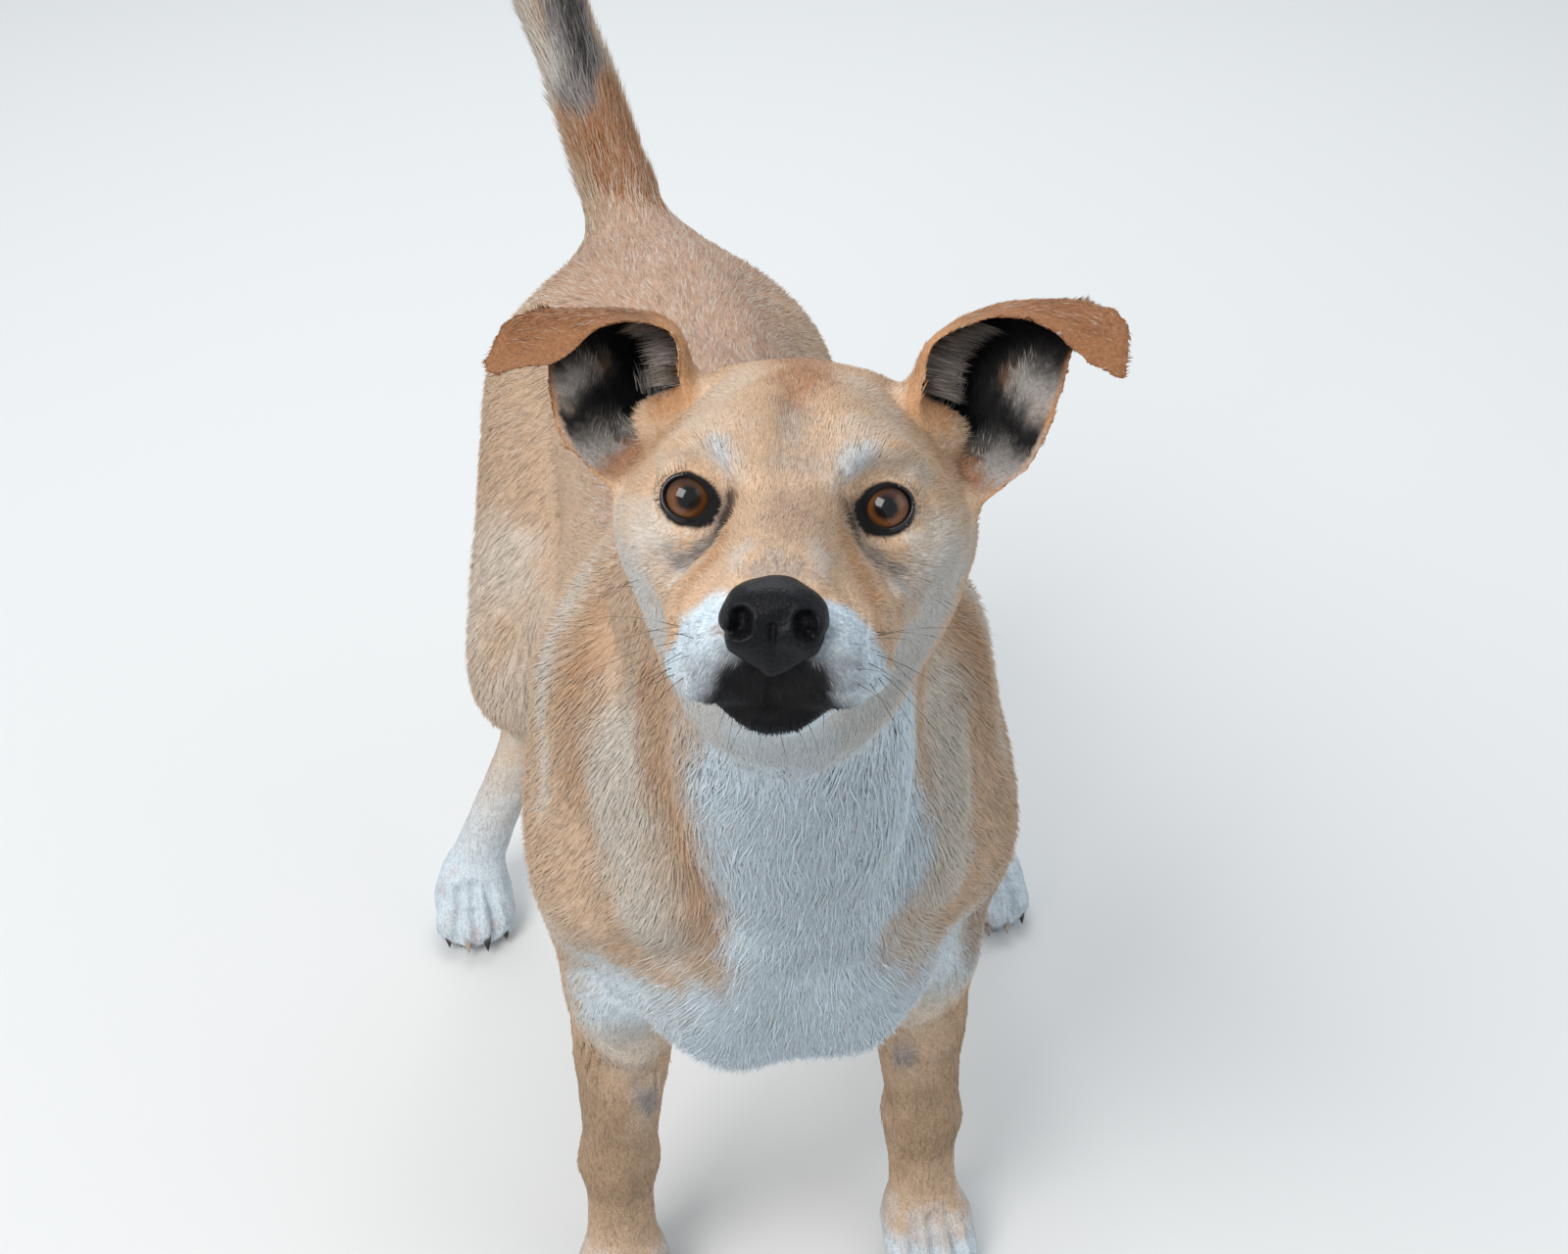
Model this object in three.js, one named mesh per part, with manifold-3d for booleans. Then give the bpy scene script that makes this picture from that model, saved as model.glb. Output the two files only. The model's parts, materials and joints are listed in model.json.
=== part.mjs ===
// A medium-sized, smooth-coated mixed-breed dog, life-size and still. It stands on all four
// feet with its hind feet wide apart, its head lifted and turned a little to its own right,
// its tail raised, and its ears half pricked with the flaps fallen outwards.
// Millimetres, +Z up, floor at Z = 0. The dog faces -Y, so its own left is +X.
// The outline is that of the coat, out to the tips of the hair.
import * as THREE from "three";
import { SimplifyModifier } from "three/addons/modifiers/SimplifyModifier.js";
import { mergeVertices } from "three/addons/utils/BufferGeometryUtils.js";
import Module from "manifold-3d";

const wasm = await Module();
wasm.setup();

// ---------------------------------------------------------------- driving dimensions
const WITHERS_HEIGHT = 502; // floor to the top of the shoulders
const BACK_DIP = 16; // how far the back lies below the withers
const BRISKET_HEIGHT = 241; // floor to the underside of the chest
const CHEST_HALF_WIDTH = 93;
const LOIN_HALF_WIDTH = 70;
const RUMP_HALF_WIDTH = 78;
const HEAD_YAW = 11.7; // degrees, towards the dog's right
const HEAD_PITCH = 27.8; // degrees, muzzle lifted
const HEAD_ROLL = 2.2; // degrees, left side down
const EYE_RADIUS = 10.8;
const EYE_SPACING = 61; // between the centres of the eyeballs
const EYE_DEPTH = 9; // the centre of an eyeball behind its front
const EAR_THICKNESS = 4;
const CARPUS_HEIGHT = 98;
const HOCK_HEIGHT = 126;
const PAW_HALF_WIDTH = 24;
const CLAW_LENGTH = 15;
const PART_GAP = 0.3; // clear space at each cut between two nodes

// ---------------------------------------------------------------- landmarks
const at = (x, y, z) => new THREE.Vector3(x, y, z);
const BETWEEN_EYES = at(-18, -337, 631);
const TAIL_ROOT = at(-12, 262, 434);
const LEFT = { name: "left", side: 1 };
const RIGHT = { name: "right", side: -1 };
const FORELEGS = [
  { ...LEFT, shoulder: at(72, -166, 350), elbow: at(76, -128, 250), paw: at(88, -118, 0) },
  { ...RIGHT, shoulder: at(-70, -166, 350), elbow: at(-70, -128, 250), paw: at(-82, -120, 0) },
];
const HINDLEGS = [
  { ...LEFT, hip: at(34, 190, 382), stifle: at(98, 90, 268), hock: at(150, 198, HOCK_HEIGHT), paw: at(190, 154, 0) },
  { ...RIGHT, hip: at(-48, 204, 382), stifle: at(-94, 108, 262), hock: at(-100, 236, HOCK_HEIGHT), paw: at(-151, 199, 0) },
];

// ---------------------------------------------------------------- flesh as blended distances
// Each shape is a function of a place that gives its distance, negative inside.

// A ball swept from a to b while its radius goes from ra to rb.
function limb(a, b, ra, rb) {
  const ax = b.x - a.x, ay = b.y - a.y, az = b.z - a.z;
  const length2 = ax * ax + ay * ay + az * az;
  const taper = ra - rb;
  const cone2 = length2 - taper * taper;
  return (p) => {
    const px = p.x - a.x, py = p.y - a.y, pz = p.z - a.z;
    const y = px * ax + py * ay + pz * az;
    const z = y - length2;
    const x2 = (px * length2 - ax * y) ** 2 + (py * length2 - ay * y) ** 2 + (pz * length2 - az * y) ** 2;
    const y2 = y * y * length2;
    const z2 = z * z * length2;
    const k = Math.sign(taper) * taper * taper * x2;
    if (Math.sign(z) * cone2 * z2 > k) return Math.sqrt(x2 + z2) / length2 - rb;
    if (Math.sign(y) * cone2 * y2 < k) return Math.sqrt(x2 + y2) / length2 - ra;
    return (Math.sqrt((x2 * cone2) / length2) + y * taper) / length2 - ra;
  };
}

const ball = (centre, radius) => (p) => p.distanceTo(centre) - radius;

// An ellipsoid, turned by Euler angles in degrees.
function mass(centre, [rx, ry, rz], turn = [0, 0, 0]) {
  const angles = turn.map((degrees) => THREE.MathUtils.degToRad(degrees));
  const back = new THREE.Matrix4().makeRotationFromEuler(new THREE.Euler(...angles)).invert();
  const q = new THREE.Vector3();
  return (p) => {
    q.copy(p).sub(centre).applyMatrix4(back);
    const near = Math.hypot(q.x / rx, q.y / ry, q.z / rz);
    const slope = Math.hypot(q.x / rx ** 2, q.y / ry ** 2, q.z / rz ** 2);
    return slope < 1e-6 ? -Math.min(rx, ry, rz) : (near * (near - 1)) / slope;
  };
}

// Shapes joined, each crease between two of them filled over about `soft` millimetres.
function fuse(soft, shapes) {
  return (p) => {
    let d = shapes[0](p);
    for (let i = 1; i < shapes.length; i++) {
      const e = shapes[i](p);
      const h = Math.max(soft - Math.abs(d - e), 0) / soft;
      d = Math.min(d, e) - (h * h * soft) / 4;
    }
    return d;
  };
}

// A body with a bite hollowed out of it, the rim rounded over about `soft` millimetres.
function hollow(soft, body, bite) {
  const outside = fuse(soft, [(p) => -body(p), bite]);
  return (p) => -outside(p);
}

// Shapes given in the head's own frame: x to the dog's left, y forwards, z up, and the origin
// between the fronts of the eyes.
const radians = THREE.MathUtils.degToRad;
const headFrame = new THREE.Matrix4()
  .makeTranslation(BETWEEN_EYES)
  .multiply(new THREE.Matrix4().makeRotationZ(radians(-HEAD_YAW)))
  .multiply(new THREE.Matrix4().makeRotationX(radians(-HEAD_PITCH)))
  .multiply(new THREE.Matrix4().makeRotationY(radians(HEAD_ROLL)))
  .multiply(new THREE.Matrix4().makeScale(1, -1, 1));
const intoHead = headFrame.clone().invert();
const headPlace = (x, y, z) => at(x, y, z).applyMatrix4(headFrame);
function inHead(shape) {
  const q = new THREE.Vector3();
  return (p) => shape(q.copy(p).applyMatrix4(intoHead));
}
function bothSides(shape) {
  const q = new THREE.Vector3();
  return (p) => shape(q.set(Math.abs(p.x), p.y, p.z));
}

// ---------------------------------------------------------------- the closed surface of a shape
// The corners, edges and faces of a grid cell. Corner c lies at the bits of c.
const CORNERS = Array.from({ length: 8 }, (_, c) => [c & 1, (c >> 1) & 1, c >> 2]);
const EDGES = [1, 2, 4].flatMap((bit) => [0, 1, 2, 3, 4, 5, 6, 7].filter((c) => !(c & bit)).map((c) => [c, c | bit]));
const edgeOf = (a, b) => EDGES.findIndex(([c, d]) => c === Math.min(a, b) && d === Math.max(a, b));
const FACES = [[1, 2, 4], [2, 4, 1], [4, 1, 2]].flatMap(([u, v, w]) =>
  [0, w].map((base) => [base, base | u, base | u | v, base | v]),
);

// The loops in which a surface crosses the edges of a cell, given which corners are inside it.
function loopsOf(inside) {
  const group = EDGES.map(([a, b], edge) => (inside[a] !== inside[b] ? edge : -1));
  const link = (a, b) => {
    const from = group[a], to = group[b];
    group.forEach((g, edge) => g === from && (group[edge] = to));
  };
  for (const face of FACES) {
    const rim = face.map((corner, i) => edgeOf(corner, face[(i + 1) % 4]));
    const crossed = rim.filter((edge) => group[edge] >= 0);
    if (crossed.length === 2) link(...crossed);
    if (crossed.length === 4) face.forEach((corner, i) => inside[corner] && link(rim[(i + 3) % 4], rim[i]));
  }
  return group;
}
const LOOPS = Array.from({ length: 256 }, (_, mask) => loopsOf(CORNERS.map((_, c) => Boolean(mask & (1 << c)))));

// A place near the surface, moved onto it along the slope of the distance.
function drawnOnto(shape, p, reach) {
  const q = new THREE.Vector3();
  const probe = reach / 50;
  for (let step = 0; step < 4; step++) {
    const d = shape(p);
    const slope = at(
      shape(q.set(p.x + probe, p.y, p.z)) - d,
      shape(q.set(p.x, p.y + probe, p.z)) - d,
      shape(q.set(p.x, p.y, p.z + probe)) - d,
    ).divideScalar(probe);
    const move = THREE.MathUtils.clamp(d / Math.max(slope.lengthSq(), 0.3), -reach / 4, reach / 4);
    p.addScaledVector(slope, -move);
  }
  return p;
}

// One vertex for each loop in each cell, and one square for each grid edge that the surface
// crosses. The cells have the size `cell` in x, y and z.
function surfaceOf(shape, low, high, cell) {
  const n = ["x", "y", "z"].map((axis, i) => Math.ceil((high[axis] - low[axis]) / cell[i]) + 1);
  const last = at(...n.map((count, i) => (count - 1) * cell[i])).add(low);
  const shut = Math.min(...cell) / 2;
  const clipped = (p) =>
    Math.max(shape(p), shut + Math.max(low.x - p.x, low.y - p.y, low.z - p.z, p.x - last.x, p.y - last.y, p.z - last.z));
  const place = (i, j, k) => at(low.x + i * cell[0], low.y + j * cell[1], low.z + k * cell[2]);
  const index = (i, j, k) => i + n[0] * (j + n[1] * k);
  const value = new Float64Array(n[0] * n[1] * n[2]);
  for (let k = 0; k < n[2]; k++)
    for (let j = 0; j < n[1]; j++) for (let i = 0; i < n[0]; i++) value[index(i, j, k)] = clipped(place(i, j, k));

  const positions = [];
  const vertexOf = new Map();
  for (let k = 0; k < n[2] - 1; k++)
    for (let j = 0; j < n[1] - 1; j++)
      for (let i = 0; i < n[0] - 1; i++) {
        const d = CORNERS.map(([a, b, c]) => value[index(i + a, j + b, k + c)]);
        const mask = d.reduce((bits, v, c) => bits | (v < 0 ? 1 << c : 0), 0);
        const loops = LOOPS[mask];
        for (const loop of new Set(loops.filter((g) => g >= 0))) {
          const sum = new THREE.Vector3();
          const crossed = EDGES.filter((_, edge) => loops[edge] === loop);
          for (const [a, b] of crossed) {
            const from = place(i + CORNERS[a][0], j + CORNERS[a][1], k + CORNERS[a][2]);
            const to = place(i + CORNERS[b][0], j + CORNERS[b][1], k + CORNERS[b][2]);
            sum.add(from.lerp(to, d[a] / (d[a] - d[b])));
          }
          const found = drawnOnto(clipped, sum.divideScalar(crossed.length), Math.min(...cell));
          EDGES.forEach((_, edge) => loops[edge] === loop && vertexOf.set(index(i, j, k) * 12 + edge, positions.length / 3));
          positions.push(...found.toArray());
        }
      }

  const triangles = [];
  const axes = [[1, 0, 0], [0, 1, 0], [0, 0, 1]];
  for (let k = 0; k < n[2]; k++)
    for (let j = 0; j < n[1]; j++)
      for (let i = 0; i < n[0]; i++)
        axes.forEach((axis, which) => {
          if ([i, j, k][which] === n[which] - 1) return;
          const inside = value[index(i, j, k)] < 0;
          if (inside === value[index(i + axis[0], j + axis[1], k + axis[2])] < 0) return;
          const u = (which + 1) % 3, v = (which + 2) % 3;
          // The same grid edge, as the cell on its (a, b) side numbers it.
          const vertexIn = (a, b) => {
            const cellAt = [i, j, k];
            cellAt[u] -= a;
            cellAt[v] -= b;
            const corner = (a << u) | (b << v);
            return vertexOf.get(index(...cellAt) * 12 + edgeOf(corner, corner | (1 << which)));
          };
          const ring = [vertexIn(1, 1), vertexIn(0, 1), vertexIn(0, 0), vertexIn(1, 0)];
          if (!inside) ring.reverse();
          triangles.push(ring[0], ring[1], ring[2], ring[0], ring[2], ring[3]);
        });
  return new THREE.BufferGeometry()
    .setAttribute("position", new THREE.Float32BufferAttribute(positions, 3))
    .setIndex(triangles);
}

// ---------------------------------------------------------------- solids and meshes
function solid(geometry) {
  const bare = geometry.clone();
  for (const name of Object.keys(bare.attributes)) if (name !== "position") bare.deleteAttribute(name);
  const merged = mergeVertices(bare, 1e-5);
  return new wasm.Manifold(
    new wasm.Mesh({
      numProp: 3,
      vertProperties: merged.attributes.position.array,
      triVerts: new Uint32Array(merged.index.array),
    }),
  );
}

// The half of space on the positive side of a plane, half a gap off it.
const FAR = 1500;
function beyond(point, normal) {
  const block = new THREE.BoxGeometry(2 * FAR, 2 * FAR, FAR);
  block.translate(0, 0, FAR / 2 + PART_GAP / 2);
  block.applyQuaternion(new THREE.Quaternion().setFromUnitVectors(at(0, 0, 1), normal.clone().normalize()));
  return solid(block.translate(...point.toArray()));
}
const before = (point, normal) => beyond(point, normal.clone().negate());
const aboveFloor = beyond(at(0, 0, -PART_GAP / 2), at(0, 0, 1));

const finish = (color, roughness) => new THREE.MeshStandardMaterial({ color, roughness, metalness: 0 });
const TAN_COAT = finish(0xb98f68, 0.85);
const PALE_COAT = finish(0xe2d8cb, 0.85);
const NOSE_LEATHER = finish(0x171518, 0.35);
const EYE = finish(0x4a2a17, 0.08);
const CLAW = finish(0x2a2422, 0.45);

const dog = new THREE.Group();
function add(name, body, material) {
  const { vertProperties, triVerts } = body.getMesh();
  const geometry = new THREE.BufferGeometry()
    .setAttribute("position", new THREE.BufferAttribute(vertProperties, 3))
    .setIndex(new THREE.BufferAttribute(triVerts, 1));
  geometry.computeVertexNormals();
  const mesh = new THREE.Mesh(geometry, material);
  mesh.name = name;
  dog.add(mesh);
}

// A surface with all its vertices moved out along their normals.
function swollen(geometry, by) {
  const grown = geometry.clone();
  grown.computeVertexNormals();
  const { position, normal } = grown.attributes;
  for (let i = 0; i < position.array.length; i++) position.array[i] += by * normal.array[i];
  return grown;
}

// The surface of a shape, thinned to a share of its vertices where it bends least.
const KEPT_SHARE = 0.375;
async function thinned(shape, low, high, cell) {
  const fine = surfaceOf(shape, low, high, [cell, cell, cell]);
  return new SimplifyModifier().modify(fine, fine.attributes.position.count * (1 - KEPT_SHARE));
}

// A length of flesh between cuts, as one closed body.
async function carve(shape, low, high, cell, keep, drop = []) {
  let body = solid(await thinned(shape, low, high, cell)).intersect(aboveFloor);
  for (const half of keep) body = body.intersect(half);
  for (const other of drop) body = body.subtract(other);
  const pieces = body.decompose().sort((a, b) => b.volume() - a.volume());
  return pieces[0];
}

// ---------------------------------------------------------------- masses of the trunk and neck
function trunkShapes() {
  const back = WITHERS_HEIGHT - BACK_DIP;
  const ribHeight = (back - BRISKET_HEIGHT) / 2;
  const ribs = mass(at(0, -56, back - ribHeight), [CHEST_HALF_WIDTH, 188, ribHeight + 2], [-7, 0, 0]);
  const breast = mass(at(0, -178, 322), [70, 58, 80], [-22, 0, 0]);
  const loin = mass(at(-3, 120, 408), [LOIN_HALF_WIDTH, 160, 74]);
  const belly = mass(at(-2, 60, 366), [LOIN_HALF_WIDTH - 6, 150, 68], [-6, 0, 0]);
  const rump = mass(at(-8, 206, 398), [RUMP_HALF_WIDTH, 90, 74], [-16, 0, 0]);
  const withers = limb(at(0, -112, 456), at(-2, 40, 438), 44, 46);
  const blades = [1, -1].map((side) => mass(at(side * 64, -140, 376), [38, 62, 104], [20, side * 8, 0]));
  return [ribs, breast, loin, belly, rump, withers, ...blades];
}

function neckShapes() {
  const nape = limb(at(2, -114, 422), headPlace(0, -84, -12), 84, 50);
  const throat = limb(at(0, -180, 356), headPlace(0, -52, -48), 74, 38);
  return [nape, throat];
}

// ---------------------------------------------------------------- masses of the head
function headShape() {
  const cranium = mass(at(0, -52, 2), [47, 60, 40], [-6, 0, 0]);
  const occiput = ball(at(0, -96, 4), 22);
  const earBase = limb(at(30, -70, 18), at(46, -66, 22), 18, 12);
  const brow = mass(at(24, -14, 13), [19, 20, 14], [0, 24, 0]);
  const cheek = mass(at(35, -40, -20), [22, 38, 32], [0, 14, 10]);
  const cheekbone = limb(at(34, -8, -17), at(48, -46, -8), 12, 12);
  const bridge = limb(at(0, -6, -7), at(0, 70, -20), 22, 14);
  const lips = limb(at(16, 6, -34), at(14, 66, -34), 22, 17);
  const jaw = limb(at(0, -40, -50), at(0, 62, -50), 30, 14);
  const whole = fuse(13, [cranium, occiput, bridge, jaw, bothSides(fuse(12, [brow, cheek, cheekbone, lips, earBase]))]);
  const socket = bothSides(mass(at(36, 4, 1), [14, 9, 9], [0, 0, -30]));
  return inHead(hollow(8, whole, socket));
}

// ---------------------------------------------------------------- masses of the legs
// Four toes side by side, the middle two longer, in front of a heel pad.
const TOES = [-1.5, -0.5, 0.5, 1.5];
const TOE_SPACING = 12.5;
const isOuter = (toe) => Math.abs(toe) > 1;
const toeTip = (paw, toe) => at(paw.x + toe * TOE_SPACING, paw.y - (isOuter(toe) ? 24 : 33), isOuter(toe) ? 11 : 12);
function pawShapes(paw) {
  const heel = mass(at(paw.x, paw.y + 6, 17), [PAW_HALF_WIDTH - 2, 22, 20]);
  const toes = TOES.map((toe) => limb(at(paw.x + toe * 9, paw.y - 6, 24), toeTip(paw, toe), 12, 9.5));
  return [heel, ...toes];
}

function forelegShapes({ side, shoulder, elbow, paw }) {
  const carpus = at(paw.x - side * 2, paw.y + 4, CARPUS_HEIGHT);
  const upperArm = limb(shoulder, elbow, 44, 33);
  const pointOfElbow = limb(at(elbow.x, elbow.y + 22, elbow.z + 8), at(elbow.x, elbow.y + 4, elbow.z - 34), 18, 24);
  const forearm = limb(at(elbow.x, elbow.y - 6, elbow.z - 4), carpus, 33, 20);
  const wrist = mass(carpus, [23, 22, 25]);
  const pastern = limb(carpus, at(paw.x, paw.y + 2, 32), 20, 20);
  const carpalPad = ball(at(carpus.x, carpus.y + 19, carpus.z - 14), 9);
  return [upperArm, pointOfElbow, forearm, wrist, pastern, carpalPad, ...pawShapes(paw)];
}

function hindlegShapes({ hip, stifle, hock, paw }) {
  const between = (share, dy, dz) =>
    at(stifle.x + (hock.x - stifle.x) * share, stifle.y + (hock.y - stifle.y) * share + dy, stifle.z + (hock.z - stifle.z) * share + dz);
  const thigh = limb(hip, stifle, 66, 44);
  const ham = limb(at(hip.x * 1.1, hip.y + 34, hip.z - 10), between(0.3, 34, 10), 48, 30);
  const shank = limb(between(0, 6, 0), hock, 38, 18);
  const heel = at(hock.x, hock.y + 14, hock.z + 12);
  const tendon = limb(between(0.42, 34, 0), heel, 17, 11);
  const pastern = limb(hock, at(paw.x, paw.y + 10, 32), 19, 19);
  return [thigh, ham, shank, tendon, ball(heel, 13), pastern, ...pawShapes(paw)];
}

// ---------------------------------------------------------------- the tail
const TAIL_LINE = new THREE.CatmullRomCurve3([
  TAIL_ROOT,
  at(-20, 320, 478),
  at(-37, 356, 538),
  at(-58, 372, 608),
  at(-76, 366, 678),
  at(-84, 342, 738),
]);
const TAIL_RADII = [29, 23, 21.5, 20.5, 19, 15, 6];
function tailShapes() {
  const lengths = TAIL_RADII.length - 1;
  return Array.from({ length: lengths }, (_, i) =>
    limb(TAIL_LINE.getPointAt(i / lengths), TAIL_LINE.getPointAt((i + 1) / lengths), TAIL_RADII[i], TAIL_RADII[i + 1]),
  );
}

// ---------------------------------------------------------------- the flesh, whole
const trunk = fuse(34, trunkShapes());
const neck = fuse(24, neckShapes());
const forelegs = FORELEGS.map((leg) => fuse(12, forelegShapes(leg)));
const hindlegs = HINDLEGS.map((leg) => fuse(14, hindlegShapes(leg)));
const tail = fuse(8, tailShapes());
const flesh = fuse(30, [fuse(30, [trunk, neck]), ...forelegs, ...hindlegs, tail, headShape()]);

// ---------------------------------------------------------------- parting cuts
const HEAD_CUT = { point: headPlace(0, -84, -10), normal: headPlace(0, 1, 0.5).sub(BETWEEN_EYES).normalize() };
const NECK_CUT = { point: at(0, -176, 430), normal: at(0, -0.66, 0.75) };
const BACKWARD = at(0, 1, 0);
const CHEST_END = 38;
const LOIN_END = 138;
const TAIL_CUT = { point: at(-8, 282, 450), normal: at(-0.1, 0.75, 0.65) };
const FORELEG_LEVELS = [
  { name: "upper_foreleg", top: 392, inner: 44, cell: 19 },
  { name: "forearm", top: 240, inner: 26, cell: 13.5 },
  { name: "front_pastern", top: 122, inner: 26, cell: 11.5 },
  { name: "front_paw", top: 46, inner: 26, cell: 8 },
];
const HINDLEG_LEVELS = [
  { name: "thigh", top: 410, inner: 42, cell: 21 },
  { name: "shank", top: 250, inner: 42, cell: 13.5 },
  { name: "hind_pastern", top: 146, inner: 42, cell: 11.5 },
  { name: "hind_paw", top: 46, inner: 42, cell: 8 },
];
const FORELEG_REACH = { front: -250, back: -46 };
const HINDLEG_REACH = { front: 30, back: 330 };
const OUTERMOST = 290; // further out than any foot
const UNDER_FLOOR = -20;

// The lengths of a leg, from the top down, as blocks that the body is cut into. Each level says
// how near the body's middle its block begins.
function lengthsOf(levels, leg, { front, back }) {
  return levels.map((level, i) => {
    const bottom = levels[i + 1]?.top ?? UNDER_FLOOR;
    const across = [level.inner * leg.side, OUTERMOST * leg.side].sort((a, b) => a - b);
    return {
      ...level,
      name: `${level.name}_${leg.name}`,
      low: at(across[0], front, bottom),
      high: at(across[1], back, level.top),
    };
  });
}
const forelegLengths = FORELEGS.map((leg) => lengthsOf(FORELEG_LEVELS, leg, FORELEG_REACH));
const hindlegLengths = HINDLEGS.map((leg) => lengthsOf(HINDLEG_LEVELS, leg, HINDLEG_REACH));

// A block between two corners, with `inset` taken off every side.
function blockOf({ low, high }, inset) {
  const block = new THREE.BoxGeometry(...high.clone().sub(low).subScalar(2 * inset).toArray());
  return solid(block.translate(...low.clone().add(high).multiplyScalar(0.5).toArray()));
}

// ---------------------------------------------------------------- trunk, neck and tail
const legBlocks = [...forelegLengths, ...hindlegLengths].flat().map((length) => blockOf(length, -PART_GAP / 2));
async function addTrunk(name, low, high, cell, keep) {
  add(name, await carve(flesh, low, high, cell, keep, legBlocks), TAN_COAT);
}
await addTrunk("neck", at(-140, -440, 290), at(140, -40, 700), 21, [
  before(HEAD_CUT.point, HEAD_CUT.normal),
  beyond(NECK_CUT.point, NECK_CUT.normal),
]);
await addTrunk("chest", at(-150, -300, 170), at(150, 80, 560), 22, [
  before(NECK_CUT.point, NECK_CUT.normal),
  before(at(0, CHEST_END, 0), BACKWARD),
]);
await addTrunk("loin", at(-150, 0, 170), at(150, 190, 560), 22, [
  beyond(at(0, CHEST_END, 0), BACKWARD),
  before(at(0, LOIN_END, 0), BACKWARD),
]);
await addTrunk("rump", at(-150, 100, 250), at(150, 360, 560), 22, [
  beyond(at(0, LOIN_END, 0), BACKWARD),
  before(TAIL_CUT.point, TAIL_CUT.normal),
]);

// The tail in three lengths, each cut square to its line.
const TAIL_LENGTHS = ["tail_root", "tail_middle", "tail_tip"];
for (const [i, name] of TAIL_LENGTHS.entries()) {
  const cutAt = (share) => ({ point: TAIL_LINE.getPointAt(share), normal: TAIL_LINE.getTangentAt(share) });
  const start = i === 0 ? TAIL_CUT : cutAt(0.2 + 0.3 * i);
  const keep = [beyond(start.point, start.normal)];
  if (i < TAIL_LENGTHS.length - 1) {
    const end = cutAt(0.5 + 0.3 * i);
    keep.push(before(end.point, end.normal));
  }
  add(name, await carve(flesh, at(-130, 230, 400), at(60, 440, 780), 14.5, keep), TAN_COAT);
}

// ---------------------------------------------------------------- legs, paws and claws
// A bent cone, its root at the origin and its point forwards and down.
const CLAW_RADIUS = 3;
const CLAW_BEND = 5;
function clawSolid(place, grown) {
  const cone = new THREE.ConeGeometry(CLAW_RADIUS + grown, CLAW_LENGTH + 2 * grown, 6, 2);
  cone.translate(0, CLAW_LENGTH / 2, 0);
  const { position } = cone.attributes;
  for (let i = 0; i < position.count; i++) {
    const share = position.getY(i) / CLAW_LENGTH;
    position.setZ(i, position.getZ(i) - CLAW_BEND * share * share);
  }
  cone.rotateZ(Math.PI).rotateX(radians(16));
  return solid(cone.translate(...place.toArray()));
}
function clawPlaces(paw) {
  return TOES.map((toe) => toeTip(paw, toe).add(at(0, -4.5, 1)));
}

for (const [which, leg] of [...FORELEGS, ...HINDLEGS].entries()) {
  const end = which < FORELEGS.length ? "front" : "hind";
  const lengths = [...forelegLengths, ...hindlegLengths][which];
  for (const length of lengths) {
    const isPaw = length.name.includes("paw");
    const claws = isPaw ? clawPlaces(leg.paw).map((place) => clawSolid(place, PART_GAP)) : [];
    const low = length.low.clone().subScalar(2 * length.cell);
    const high = length.high.clone().addScalar(2 * length.cell);
    const body = await carve(flesh, low, high, length.cell, [blockOf(length, PART_GAP / 2)], claws);
    add(length.name, body, isPaw ? PALE_COAT : TAN_COAT);
  }
  clawPlaces(leg.paw).forEach((place, toe) => add(`claw_${end}_${leg.name}_${toe + 1}`, clawSolid(place, 0), CLAW));
}

// ---------------------------------------------------------------- eyes, nose and head
const eyeCentre = (side) => headPlace((side * EYE_SPACING) / 2, -EYE_DEPTH, 0);
function eyeSolid(side, grown) {
  return solid(new THREE.IcosahedronGeometry(EYE_RADIUS + grown, 1).translate(...eyeCentre(side).toArray()));
}

function noseSurface() {
  const pad = mass(at(0, 78, -24), [13.5, 13, 10]);
  const wing = mass(at(8, 83, -27), [7.5, 9, 8.5]);
  const partition = limb(at(0, 82, -31), at(0, 80, -40), 6.5, 4);
  const middle = headPlace(0, 78, -26);
  const low = middle.clone().subScalar(34), high = middle.clone().addScalar(34);
  return thinned(inHead(fuse(5, [pad, bothSides(wing), partition])), low, high, 4.6);
}

const HEAD_LOW = at(-150, -510, 490);
const HEAD_HIGH = at(110, -190, 740);
const HEAD_CELL = 9;
const nose = await noseSurface();
const sockets = [eyeSolid(1, PART_GAP), eyeSolid(-1, PART_GAP), solid(swollen(nose, 2 * PART_GAP))];
const headSide = beyond(HEAD_CUT.point, HEAD_CUT.normal);
add("head", await carve(flesh, HEAD_LOW, HEAD_HIGH, HEAD_CELL, [headSide], sockets), TAN_COAT);
add("nose", solid(nose), NOSE_LEATHER);
for (const { name, side } of [LEFT, RIGHT]) add(`eye_${name}`, eyeSolid(side, 0), EYE);

// ---------------------------------------------------------------- ears
// An ear is a leaf through three edges: the inner rim, the spine of the cup and the outer rim.
// It is cupped forwards below the fold, and falls outwards above it.
const EAR_EDGES = [
  [at(40, -46, 18), at(46, -50, 36), at(52, -55, 54), at(66, -50, 62), at(87, -42, 54), at(104, -38, 45)],
  [at(40, -72, 6), at(46, -88, 32), at(54, -88, 56), at(74, -74, 67), at(93, -60, 68), at(109, -46, 57)],
  [at(54, -38, -4), at(76, -42, 10), at(86, -48, 30), at(92, -60, 52), at(98, -64, 66), at(102, -54, 69)],
].map((points) => new THREE.CatmullRomCurve3(points));
const EAR_DROOPS = { left: at(0, 0, 0), right: at(-5, 4, -11) };
const EAR_ROWS = 9;
const EAR_COLUMNS = 5;

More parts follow.
